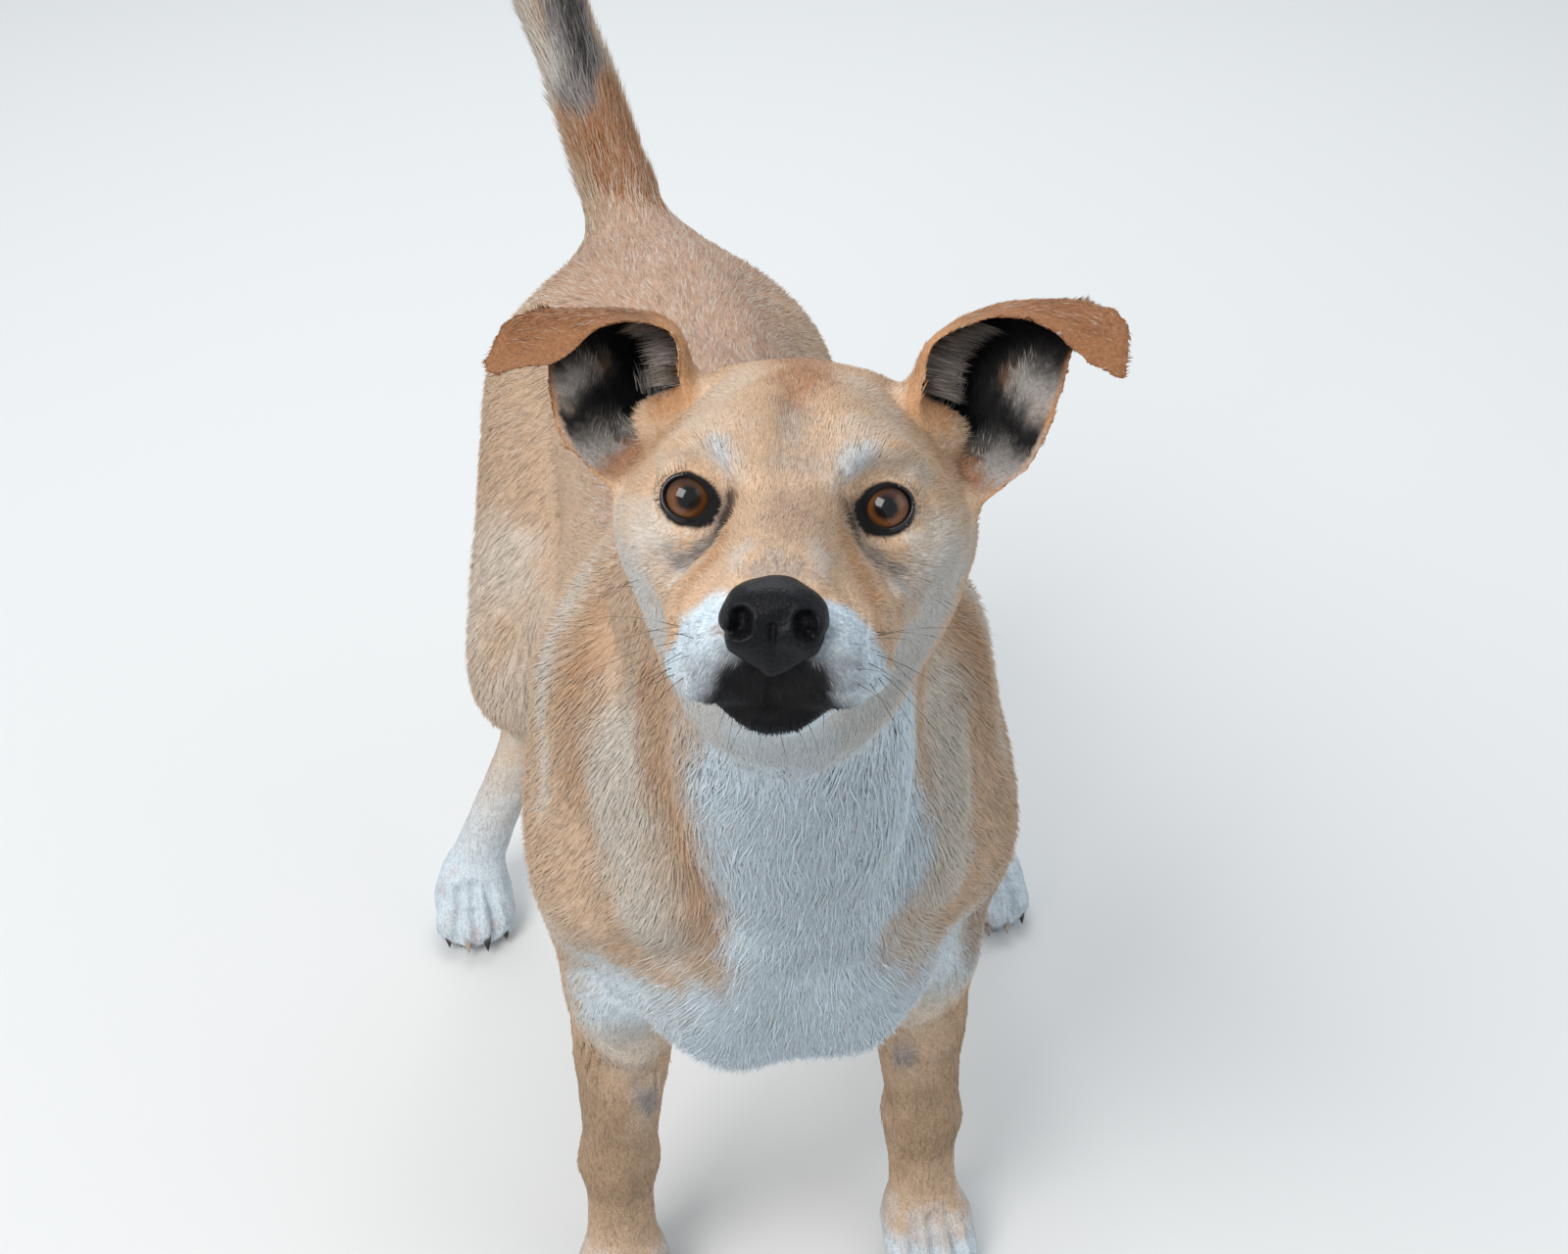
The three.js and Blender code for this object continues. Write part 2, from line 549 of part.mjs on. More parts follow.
function earPoint(droop, across, along) {
  const [inner, spine, outer] = EAR_EDGES.map((edge) => edge.getPoint(along));
  const bend = outer.clone().add(inner).addScaledVector(spine, -2).multiplyScalar((across * across) / 2);
  const fall = Math.min(1, Math.max(0, 2.5 * along - 0.75));
  return outer.sub(inner).multiplyScalar(across / 2).add(spine).add(bend).addScaledVector(droop, fall);
}
function earSolid({ name, side }) {
  const droop = EAR_DROOPS[name];
  const positions = [];
  const step = 0.01;
  for (const face of [-1, 1])
    for (let row = 0; row <= EAR_ROWS; row++)
      for (let column = 0; column <= EAR_COLUMNS; column++) {
        const across = (2 * column) / EAR_COLUMNS - 1, along = row / EAR_ROWS;
        const spot = earPoint(droop, across, along);
        const alongwards = earPoint(droop, across, along + (along > 0.5 ? -step : step)).sub(spot);
        if (along > 0.5) alongwards.negate();
        const acrosswards = earPoint(droop, across + step, along).sub(spot);
        const out = acrosswards.cross(alongwards).normalize();
        const point = spot.addScaledVector(out, (face * EAR_THICKNESS) / 2);
        point.x *= side;
        positions.push(...point.applyMatrix4(headFrame).toArray());
      }
  const columns = EAR_COLUMNS + 1;
  const sheet = columns * (EAR_ROWS + 1);
  const triangles = [];
  const quad = (a, b, c, d) => triangles.push(a, b, c, a, c, d);
  for (let row = 0; row < EAR_ROWS; row++)
    for (let column = 0; column < EAR_COLUMNS; column++) {
      const corner = row * columns + column;
      const ring = [corner, corner + 1, corner + 1 + columns, corner + columns];
      quad(...ring.map((i) => i + sheet));
      quad(...ring.reverse());
    }
  for (let row = 0; row < EAR_ROWS; row++) {
    const a = row * columns, b = a + columns;
    quad(a + sheet, b + sheet, b, a);
    quad(b + EAR_COLUMNS + sheet, a + EAR_COLUMNS + sheet, a + EAR_COLUMNS, b + EAR_COLUMNS);
  }
  for (let column = 0; column < EAR_COLUMNS; column++) {
    const top = EAR_ROWS * columns + column;
    quad(column + 1 + sheet, column + sheet, column, column + 1);
    quad(top + sheet, top + 1 + sheet, top + 1, top);
  }
  const geometry = new THREE.BufferGeometry().setAttribute("position", new THREE.Float32BufferAttribute(positions, 3));
  // The head frame is a mirror image and the right ear is mirrored once more, so only the left
  // ear has its faces turned round.
  if (side > 0) for (let i = 0; i < triangles.length; i += 3) [triangles[i], triangles[i + 1]] = [triangles[i + 1], triangles[i]];
  return solid(geometry.setIndex(triangles));
}
const headroom = solid(swollen(await thinned(flesh, HEAD_LOW, HEAD_HIGH, HEAD_CELL), 2 * PART_GAP));
for (const which of [LEFT, RIGHT]) {
  const outside = earSolid(which).subtract(headroom);
  add(`ear_${which.name}`, outside.decompose().sort((a, b) => b.volume() - a.volume())[0], TAN_COAT);
}

// The origin is on the floor, below the middle of the dog's length and width.
const { min, max } = new THREE.Box3().setFromObject(dog);
dog.position.set(-(min.x + max.x) / 2, -(min.y + max.y) / 2, 0);

export default dog;
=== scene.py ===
import json
import math

import bpy
import numpy as np
from mathutils import Matrix, Vector, kdtree

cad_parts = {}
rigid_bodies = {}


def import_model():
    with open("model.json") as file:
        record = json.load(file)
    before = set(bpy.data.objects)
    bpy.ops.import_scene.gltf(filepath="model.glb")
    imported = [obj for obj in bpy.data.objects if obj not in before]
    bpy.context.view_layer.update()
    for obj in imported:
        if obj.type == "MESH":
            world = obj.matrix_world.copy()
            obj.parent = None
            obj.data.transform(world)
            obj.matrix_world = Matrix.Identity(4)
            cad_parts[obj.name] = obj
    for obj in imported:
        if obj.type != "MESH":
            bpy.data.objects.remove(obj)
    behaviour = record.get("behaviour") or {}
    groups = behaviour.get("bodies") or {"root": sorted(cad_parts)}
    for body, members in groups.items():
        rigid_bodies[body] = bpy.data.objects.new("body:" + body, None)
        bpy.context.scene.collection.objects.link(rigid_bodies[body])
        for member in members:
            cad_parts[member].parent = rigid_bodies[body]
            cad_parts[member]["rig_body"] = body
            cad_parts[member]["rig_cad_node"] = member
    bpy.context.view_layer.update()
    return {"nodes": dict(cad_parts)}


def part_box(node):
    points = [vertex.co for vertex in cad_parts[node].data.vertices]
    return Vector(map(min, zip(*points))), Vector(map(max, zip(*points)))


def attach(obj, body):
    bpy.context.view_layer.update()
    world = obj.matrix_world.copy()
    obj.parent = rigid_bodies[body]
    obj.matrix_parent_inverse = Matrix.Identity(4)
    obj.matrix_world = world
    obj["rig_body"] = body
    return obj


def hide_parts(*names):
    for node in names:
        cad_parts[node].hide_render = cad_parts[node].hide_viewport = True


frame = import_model()
nodes = frame["nodes"]
bpy.ops.object.select_all(action="DESELECT")
scene = bpy.context.scene

# ---------------------------------------------------------------- the view, the lamps and the floor
# The dog looks up at somebody standing just in front of it. Two large soft lamps and an even
# sky light it, and it stands on a plain pale floor.
scene.view_settings.view_transform = "Standard"


def middle_of(node):
    low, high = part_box(node)
    return np.array((low + high) / 2)


EYE_CENTRES = {1: middle_of("eye_left"), -1: middle_of("eye_right")}
BETWEEN_EYES = (EYE_CENTRES[1] + EYE_CENTRES[-1]) / 2
VIEW_FROM_EYES = np.array([-0.0906, -0.5588, 0.3452])
VIEW_YAW = 8.92  # the three turns are in degrees
VIEW_PITCH = 34.75
VIEW_ROLL = -0.94
VIEW_LENS = 48.375

camera_place = BETWEEN_EYES + VIEW_FROM_EYES
yaw, pitch, roll = (math.radians(angle) for angle in (VIEW_YAW, VIEW_PITCH, VIEW_ROLL))
ahead = Vector((math.sin(yaw) * math.cos(pitch), math.cos(yaw) * math.cos(pitch), -math.sin(pitch)))
rightwards = ahead.cross(Vector((0, 0, 1))).normalized()
upwards = rightwards.cross(ahead)
turned_right = rightwards * math.cos(roll) + upwards * math.sin(roll)
turned_up = upwards * math.cos(roll) - rightwards * math.sin(roll)
camera_data = bpy.data.cameras.new("camera")
camera_data.lens = VIEW_LENS
camera_data.sensor_width = 36
camera_data.clip_start = 0.05
camera = bpy.data.objects.new("camera", camera_data)
scene.collection.objects.link(camera)
turn = Matrix((turned_right, turned_up, -ahead)).transposed().to_4x4()
camera.matrix_world = Matrix.Translation(camera_place) @ turn
scene.camera = camera

LAMPS_AIM_AT = Vector((0, -0.05, 0.35))
LAMPS = [
    # place, size, watts, colour
    ((-1.7, -1.5, 2.7), 1.7, 76, (1.0, 0.98, 0.96)),
    ((1.9, -1.2, 1.9), 2.0, 9, (0.92, 0.96, 1.0)),
    ((0.2, 2.0, 2.6), 1.6, 34, (0.96, 0.98, 1.0)),
]
for number, (place, size, watts, colour) in enumerate(LAMPS, 1):
    bpy.ops.object.light_add(type="AREA", location=place)
    lamp = bpy.context.object
    lamp.name = f"lamp_{number}"
    lamp.data.size = size
    lamp.data.energy = watts
    lamp.data.color = colour
    lamp.rotation_euler = (LAMPS_AIM_AT - Vector(place)).to_track_quat("-Z", "Y").to_euler()

world = bpy.data.worlds.new("sky")
scene.world = world
world.use_nodes = True
sky = world.node_tree.nodes["Background"]
sky.inputs["Color"].default_value = (0.86, 0.93, 1.0, 1)
sky.inputs["Strength"].default_value = 0.66


def shader(name, roughness, specular=0.5):
    """A new material and its one shader, whose other sockets are set or linked afterwards."""
    material = bpy.data.materials.new(name)
    material.use_nodes = True
    surface = material.node_tree.nodes["Principled BSDF"]
    surface.inputs["Roughness"].default_value = roughness
    surface.inputs["Specular IOR Level"].default_value = specular
    return material, surface


floor_material, floor_surface = shader("floor_paint", 0.9)
floor_surface.inputs["Base Color"].default_value = (0.70, 0.70, 0.69, 1)
FLOOR_SIZE = 14
FLOOR_DROP = 0.0004  # keeps the soles clear of the floor
bpy.ops.object.select_all(action="DESELECT")
bpy.ops.mesh.primitive_plane_add(size=FLOOR_SIZE, location=(0, 0, -FLOOR_DROP))
floor = bpy.context.object
floor.name = "floor"
floor.data.materials.append(floor_material)
bpy.ops.object.transform_apply(location=True, rotation=True, scale=True)
bpy.ops.object.select_all(action="DESELECT")

# ---------------------------------------------------------------- the skin
# One closed skin over the whole body, without the eyes, the nose and the claws. It is the
# parted flesh grown back together, smoothed like muscle under hide, and lies below the tips
# of the coat by the depth of the hair.
FLESH = [name for name in nodes if not name.startswith(("eye", "nose", "claw"))]
SKIN_GRAIN = 0.0025
HIDE_OVERLAP = 0.0006
NOSE_DROP = math.radians(17.35)  # the nose below straight ahead of the eyes
EYES_BULGE = 0.009  # the eyes' fronts ahead of their middles
EYE_RADIUS = 0.0108
LID_THICKNESS = 0.0013
LID_BALL_MARGIN = 0.0012


def unit(vectors):
    return vectors / np.maximum(np.linalg.norm(vectors, axis=-1, keepdims=True), 1e-12)


# The head's own directions: to the dog's left, ahead, and up.
HEAD_LEFT = unit(EYE_CENTRES[1] - EYE_CENTRES[-1])
to_nose = middle_of("nose") - BETWEEN_EYES
to_nose = unit(to_nose - HEAD_LEFT * (to_nose @ HEAD_LEFT))
over_nose = np.cross(to_nose, HEAD_LEFT)
HEAD_AHEAD = to_nose * math.cos(NOSE_DROP) + over_nose * math.sin(NOSE_DROP)
HEAD_UP = over_nose * math.cos(NOSE_DROP) - to_nose * math.sin(NOSE_DROP)
HEAD_AXES = np.stack((HEAD_LEFT, HEAD_AHEAD, HEAD_UP))
HEAD_ORIGIN = BETWEEN_EYES + EYES_BULGE * HEAD_AHEAD
# The eyeballs sit a little to the dog's right of the solids' middles.
EYE_SHIFT = {1: -0.0006, -1: -0.0018}
EYE_CENTRES = {side: EYE_CENTRES[side] + EYE_SHIFT[side] * HEAD_LEFT for side in (1, -1)}
BODY_MIDDLE = (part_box("chest")[0].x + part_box("chest")[1].x) / 2


def in_head(places):
    """Places in millimetres left, ahead and up from between the fronts of the eyes."""
    return (places - HEAD_ORIGIN) @ HEAD_AXES.T * 1000


def from_head(places):
    return HEAD_ORIGIN + np.asarray(places, float) / 1000 @ HEAD_AXES


def in_body(places):
    """Places in millimetres left of the body's middle, back and up."""
    return (places - (BODY_MIDDLE, 0, 0)) * 1000


def from_body(places):
    return np.asarray(places, float) / 1000 + (BODY_MIDDLE, 0, 0)


def folded(places):
    """The body's right half laid over its left."""
    return np.column_stack((np.abs(places[:, 0]), places[:, 1:]))


def read(items, field, width, kind=np.float32):
    """One field of all the items of a mesh, with a row for each."""
    values = np.empty(len(items) * width, kind)
    items.foreach_get(field, values)
    return values.reshape(-1, width)


def places_of(mesh):
    return read(mesh.vertices, "co", 3).astype(float)


def set_places(mesh, places):
    mesh.vertices.foreach_set("co", places.astype(np.float32).ravel())
    mesh.update()


def normals_of(mesh):
    return read(mesh.vertex_normals, "vector", 3).astype(float)


def smoothstep(value, low, high):
    share = np.clip((value - low) / (high - low), 0, 1)
    return share * share * (3 - 2 * share)


def only(piece):
    bpy.ops.object.select_all(action="DESELECT")
    piece.select_set(True)
    bpy.context.view_layer.objects.active = piece


def edit_whole(piece, operator, **settings):
    """One editing operator run on the whole mesh of the piece."""
    only(piece)
    bpy.ops.object.mode_set(mode="EDIT")
    bpy.ops.mesh.select_all(action="SELECT")
    operator(**settings)
    bpy.ops.object.mode_set(mode="OBJECT")


def apply_modifiers(piece):
    only(piece)
    for modifier in list(piece.modifiers):
        bpy.ops.object.modifier_apply(modifier=modifier.name)


def remesh(piece, voxel_size):
    grain = piece.modifiers.new("grain", "REMESH")
    grain.mode = "VOXEL"
    grain.voxel_size = voxel_size


def smooth(piece, rounds):
    """The piece is worn smooth by a modifier, halfway to its neighbours in each round."""
    worn = piece.modifiers.new("smooth", "SMOOTH")
    worn.factor = 0.5
    worn.iterations = rounds


def joined_copy(names, piece_name):
    """The named nodes copied, let go of their body, joined and welded into one piece."""
    bpy.ops.object.select_all(action="DESELECT")
    for name in names:
        nodes[name].select_set(True)
    bpy.context.view_layer.objects.active = nodes[names[0]]
    bpy.ops.object.duplicate()
    bpy.ops.object.parent_clear(type="CLEAR_KEEP_TRANSFORM")
    if len(names) > 1:
        bpy.ops.object.join()
    piece = bpy.context.object
    piece.name = piece_name
    piece.data.name = piece_name
    piece.data.materials.clear()
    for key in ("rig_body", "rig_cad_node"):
        if key in piece:
            del piece[key]
    edit_whole(piece, bpy.ops.mesh.remove_doubles, threshold=1e-5)
    return piece


skin = joined_copy(FLESH, "skin")
edit_whole(skin, bpy.ops.transform.shrink_fatten, value=HIDE_OVERLAP)

# Closed lids over both eyeballs, which are opened further down.
LID_BALL_RADIUS = EYE_RADIUS + LID_THICKNESS + LID_BALL_MARGIN
for side in (1, -1):
    bpy.ops.mesh.primitive_uv_sphere_add(
        segments=32, ring_count=16, radius=LID_BALL_RADIUS, location=EYE_CENTRES[side]
    )
    skin.select_set(True)
    bpy.context.view_layer.objects.active = skin
    bpy.ops.object.join()

remesh(skin, SKIN_GRAIN)
apply_modifiers(skin)


def tree_of(places):
    """A tree that finds the nearest of the places."""
    tree = kdtree.KDTree(len(places))
    for number, place in enumerate(places):
        tree.insert(place, number)
    tree.balance()
    return tree


# Which part of the body each place belongs to, by the nearest corner of the solids.
part_corners = [places_of(nodes[name].data) for name in FLESH]
corner_part = np.repeat(np.arange(len(FLESH)), [len(corners) for corners in part_corners])
corner_tree = tree_of(np.concatenate(part_corners))
ZONES = ["head", "ear", "neck", "trunk", "leg", "paw", "tail"]
ZONE_PARTS = {
    "head": ("head",), "ear": ("ear",), "neck": ("neck",), "tail": ("tail",),
    "trunk": ("chest", "loin", "rump", "upper_foreleg", "thigh"),
    "leg": ("forearm", "shank", "front_pastern", "hind_pastern"),
    "paw": ("front_paw", "hind_paw"),
}
zone_of_part = np.array(
    [next(ZONES.index(zone) for zone in ZONES if name.startswith(ZONE_PARTS[zone])) for name in FLESH]
)


def zones_of(places):
    found = np.array([corner_tree.find(place)[1] for place in places])
    return zone_of_part[corner_part[found]]


def edges_of(mesh):
    return read(mesh.edges, "vertices", 2, np.int32)


def neighbour_mean(values, pairs):
    """The mean of each vertex's neighbours, for values given per vertex."""
    first, second = pairs.T
    size = len(values)
    count = np.maximum(np.bincount(pairs.ravel(), minlength=size), 1)
    columns = values.reshape(size, -1)
    mean = [
        (np.bincount(first, column[second], size) + np.bincount(second, column[first], size)) / count
        for column in columns.T
    ]
    return np.stack(mean, axis=1).reshape(values.shape)


def diffused(values, pairs, rounds):
    for _ in range(rounds):
        values = 0.5 * values + 0.5 * neighbour_mean(values, pairs)
    return values


def relax(places, weight, rounds=1, factor=0.5):
    """Places are moved towards their neighbours' mean, or away from it by a factor below zero."""
    for _ in range(rounds):
        places += factor * weight[:, None] * (neighbour_mean(places, pairs) - places)


# Facets and seams are smoothed away, most on the broad muscles and least on the face and feet.
SMOOTHING_ROUNDS = {
    "head": 6.0, "ear": 6.0, "neck": 40.0, "trunk": 46.0, "leg": 15.0, "paw": 3.0, "tail": 26.0,
}


def by_zone(table, zone):
    """The table's entry for the zone of each place."""
    return np.array([table[name] for name in ZONES])[zone]


pairs = edges_of(skin.data)
places = places_of(skin.data)
skin_zone = zones_of(places)
rounds = diffused(by_zone(SMOOTHING_ROUNDS, skin_zone), pairs, 8)
for step in range(int(rounds.max())):
    relax(places, np.clip(rounds - step, 0, 1))
# The rims of the ears are evened out without being worn thinner.
EAR_ROUNDS = 18
EAR_SMOOTHING = 0.55
EAR_SWELLING = 0.57
on_ear = diffused((skin_zone == ZONES.index("ear")).astype(float), pairs, 3)
for _ in range(EAR_ROUNDS):
    relax(places, on_ear, factor=EAR_SMOOTHING)
    relax(places, on_ear, factor=-EAR_SWELLING)
set_places(skin.data, places)

# The broad parts need fewer faces than the head, the ears and the feet.
KEPT_FACES = 0.27
PLAINNESS = {"head": 0.0, "ear": 0.0, "neck": 1.0, "trunk": 1.0, "leg": 1.0, "paw": 0.45, "tail": 1.0}
plain = skin.vertex_groups.new(name="plain")
for zone_number, zone in enumerate(ZONES):
    members = np.flatnonzero(skin_zone == zone_number)
    plain.add(members.tolist(), PLAINNESS[zone], "REPLACE")
thinning = skin.modifiers.new("thinning", "DECIMATE")
thinning.ratio = KEPT_FACES
thinning.vertex_group = "plain"
apply_modifiers(skin)
skin.vertex_groups.clear()

# The hide lies below the tips of the coat by this much, in metres.
COAT_DEPTH = {
    "head": 0.0014, "ear": 0.0013, "neck": 0.0050, "trunk": 0.0036, "leg": 0.0024, "paw": 0.0013,
    "tail": 0.0044,
}
pairs = edges_of(skin.data)
places = places_of(skin.data)
skin_zone = zones_of(places)
depth = diffused(by_zone(COAT_DEPTH, skin_zone), pairs, 6)
places -= normals_of(skin.data) * (depth + HIDE_OVERLAP)[:, None]
set_places(skin.data, places)


def divide(chosen):
    """Every chosen face of the skin divided in four."""
    skin.data.polygons.foreach_set("select", chosen)
    only(skin)
    bpy.ops.object.mode_set(mode="EDIT")
    bpy.ops.mesh.select_mode(type="FACE")
    bpy.ops.mesh.subdivide(number_cuts=1, smoothness=0.0)
    bpy.ops.object.mode_set(mode="OBJECT")


def face_middles(mesh):
    return read(mesh.polygons, "center", 3).astype(float)


# The opening between the lids, in millimetres towards the nose and up from the line of sight.
OPENING_TURNS = np.linspace(0, 2 * math.pi, 73)[:-1]
opening_in = 8.0 * np.cos(OPENING_TURNS) * (1 + 0.20 * np.clip(np.cos(OPENING_TURNS), 0, 1) ** 8)
opening_up = 7.0 * np.sin(OPENING_TURNS)
opening_up = opening_up - 0.27 * np.clip(opening_in, 0, 9) - 0.06 * np.clip(opening_in, -9, 0)
opening_bearing = np.arctan2(opening_up, opening_in)
opening_order = np.argsort(opening_bearing)
opening_reach = np.hypot(opening_in, opening_up)[opening_order]
opening_bearing = opening_bearing[opening_order]


def eye_axes(side):
    """Towards the nose, up, and along the line of sight, for one eye."""
    sight = unit(camera_place - EYE_CENTRES[side])
    inwards = -side * HEAD_LEFT
    inwards = unit(inwards - sight * (inwards @ sight))
    up = unit(HEAD_UP - sight * (HEAD_UP @ sight) - inwards * (HEAD_UP @ inwards))
    return np.stack((inwards, up, sight))


def seen_from_eye(places, side):
    """Distance from the eyeball's middle, millimetres out past the lids' edge, and bearing."""
    offset = places - EYE_CENTRES[side]
    distance = np.linalg.norm(offset, axis=1)
    local = offset @ eye_axes(side).T
    flat = np.hypot(local[:, 0], local[:, 1])
    # Round the side of the eye the arc goes on growing.
    arc = np.arccos(np.clip(local[:, 2] / np.maximum(distance, 1e-9), -1, 1))
    out = 1000 * np.maximum(flat, EYE_RADIUS * np.where(arc < 1.2, np.sin(arc), arc))
    bearing = np.arctan2(local[:, 1], local[:, 0])
    reach = np.interp(bearing, opening_bearing, opening_reach, period=2 * math.pi)
    return distance, out - reach, bearing


EYE_SPOT = (30.5, -2, 0)


def near_eyes(places, reach):
    return np.linalg.norm(folded(in_head(places)) - EYE_SPOT, axis=1) < reach


middles = face_middles(skin.data)
head_middles = in_head(middles)
around_mouth = (head_middles[:, 1] > 34) & (head_middles[:, 2] < -10) & (head_middles[:, 2] > -68)
divide(near_eyes(middles, 20) | around_mouth)
middles = face_middles(skin.data)
at_lids = np.zeros(len(middles), bool)
for side in (1, -1):
    distance, past_lid, _ = seen_from_eye(middles, side)
    at_lids |= (distance < 0.0165) & (np.abs(past_lid) < 2.6)
divide(at_lids)

# ---- the shape of the face, pressed and drawn into the skin
pairs = edges_of(skin.data)
places = places_of(skin.data)
head_places = in_head(places)
on_muzzle = (head_places[:, 1] > 20) & (np.abs(head_places[:, 0]) < 50) & (head_places[:, 2] < 0)
on_face = near_eyes(places, 26) | on_muzzle
relax(places, diffused(on_face.astype(float), pairs, 2), 5)
set_places(skin.data, places)


def along(points, steps=14):
    """A smooth line through a few points."""
    points = np.asarray(points, float)
    padded = np.vstack((2 * points[0] - points[1], points, 2 * points[-1] - points[-2]))
    line = []
    for k in range(1, len(padded) - 2):
        a, b, c, d = padded[k - 1 : k + 3]
        for t in np.linspace(0, 1, steps, endpoint=False):
            square = (2 * a - 5 * b + 4 * c - d) * t**2
            cube = (3 * b - a - 3 * c + d) * t**3
            line.append(0.5 * (2 * b + (c - a) * t + square + cube))
    line.append(points[-1])
    return np.array(line)


def fading(gaps, reach, power=2):
    """1 at no gap, falling smoothly to 0 at the reach."""
    return np.clip(1 - (gaps / reach) ** 2, 0, 1) ** power


def shares_near(line, reach, side, on_body):
    """The vertices near a line and how strongly each follows it. The line is in the head's
    millimetres or, on the body, in millimetres from its middle and the floor."""
    local = in_body(places) if on_body else in_head(places)
    mirrored = along(line) * (side, 1, 1)
    boxed = (local > mirrored.min(0) - reach) & (local < mirrored.max(0) + reach)
    near = np.flatnonzero(np.all(boxed, axis=1))
    gaps = np.linalg.norm(local[near][:, None] - mirrored[None], axis=2).min(1)
    return near, fading(gaps, reach)


def stroke(line, reach, rise, sides=(1, -1), on_body=False):
    """Skin near a line is raised or, below zero, pressed in."""
    normals = normals_of(skin.data)
    for side in sides:
        near, share = shares_near(line, reach, side, on_body)
        places[near] += normals[near] * (share * rise / 1000)[:, None]
    set_places(skin.data, places)


def drag(line, reach, shift, sides=(1, -1), on_body=False):
    """Skin near a line is moved by so many millimetres each way."""
    axes = np.eye(3) if on_body else HEAD_AXES
    for side in sides:
        near, share = shares_near(line, reach, side, on_body)
        places[near] += share[:, None] / 1000 * (np.array(shift) * (side, 1, 1) @ axes)
    set_places(skin.data, places)


FACE_BACK = -40  # press reaches this far back, in the head's millimetres


def press(line, reach, rise):
    """Like stroke, for the front of the face: the line is given only to the left and up."""
    normals = normals_of(skin.data)
    local = in_head(places)
    facing = smoothstep(normals @ HEAD_AHEAD, 0.0, 0.35)
    line = along(np.array([(x, 0, z) for x, z in line]))[:, ::2]
    ahead_enough = smoothstep(local[:, 1], FACE_BACK, FACE_BACK + 12)
    near = np.flatnonzero((facing > 0) & (ahead_enough > 0) & (local[:, 2] > -75) & (local[:, 2] < 60))
    flat = np.stack((np.abs(local[near, 0]), local[near, 2]), axis=1)
    gaps = np.linalg.norm(flat[:, None] - line[None], axis=2).min(1)
    share = fading(gaps, reach) * facing[near] * ahead_enough[near]
    places[near] += normals[near] * (share * rise / 1000)[:, None]
    set_places(skin.data, places)


BODY_STROKES = [
    # line, reach, rise: creases, folds, muscles and bones
    ([(66, -284, 580), (58, -250, 530), (58, -236, 480), (50, -238, 435), (36, -244, 396)], 22, -6.0),
    ([(64, -225, 480), (74, -205, 430), (66, -212, 370)], 30, 7.0),
    ([(50, -150, 505), (66, -172, 470), (84, -176, 420), (86, -180, 360)], 18, -5.5),
    ([(70, -120, 500), (92, -118, 440), (98, -130, 380)], 30, 4.0),
    ([(60, -70, 500), (88, -62, 430), (90, -70, 350)], 26, -4.0),
    ([(86, -160, 296), (60, -208, 345), (34, -238, 378)], 18, -4.5),
    ([(44, -218, 305), (70, -190, 290)], 30, 5.0),
    ([(84, -95, 300), (86, -110, 240)], 20, -3.5),
    ([(40, -205, 262), (66, -190, 262)], 26, 4.5),
    ([(36, -150, 222), (66, -172, 226), (96, -150, 236)], 18, -4.0),
    ([(60, 60, 420), (80, 90, 330), (84, 96, 270)], 30, -4.0),
    ([(88, 130, 400), (112, 150, 340), (116, 130, 280)], 34, 4.0),
    ([(70, 250, 420), (84, 240, 340)], 26, -3.0),
    ([(40, 200, 500), (52, 235, 470)], 24, 3.0),
]
for line, reach, rise in BODY_STROKES:
    stroke(line, reach, rise, on_body=True)
stroke([(0, -236, 350), (0, -226, 290), (0, -200, 250)], 22, -4.0, sides=(1,), on_body=True)
# The points of the shoulders stand out over the tops of the forelegs.
drag([(50, -200, 270), (72, -178, 262), (84, -150, 256)], 42, (1.5, -7, -4), on_body=True)
stroke([(104, -112, 214), (90, -130, 202), (70, -136, 190), (50, -124, 192)], 15, -5.0, on_body=True)
stroke([(86, -160, 252), (66, -170, 244)], 34, 4.0, on_body=True)
# The tail is thick at its root.
TAIL_LINE = [(4, 288, 456), (-14, 320, 484), (-30, 350, 520), (-42, 368, 560), (-56, 384, 620)]
stroke(TAIL_LINE, 46, 4.5, sides=(1,), on_body=True)
# The ears rise from the skull on broad roots.
drag([(36, -60, 24), (40, -60, 36), (46, -60, 50)], 22, (-7.5, 0, 1.0))
# The flaps of the ears hang a little lower than they were cast.
drag([(78, -42, 50), (92, -41, 50), (106, -40, 44)], 13, (1.5, 1.0, -5.5))
drag([(84, -41, 46), (98, -41, 44)], 12, (1.0, 1.0, -3.0), sides=(-1,))
on_broad_parts = np.isin(zones_of(places), [ZONES.index("neck"), ZONES.index("trunk")])
relax(places, diffused(on_broad_parts.astype(float), pairs, 2), 3)
set_places(skin.data, places)

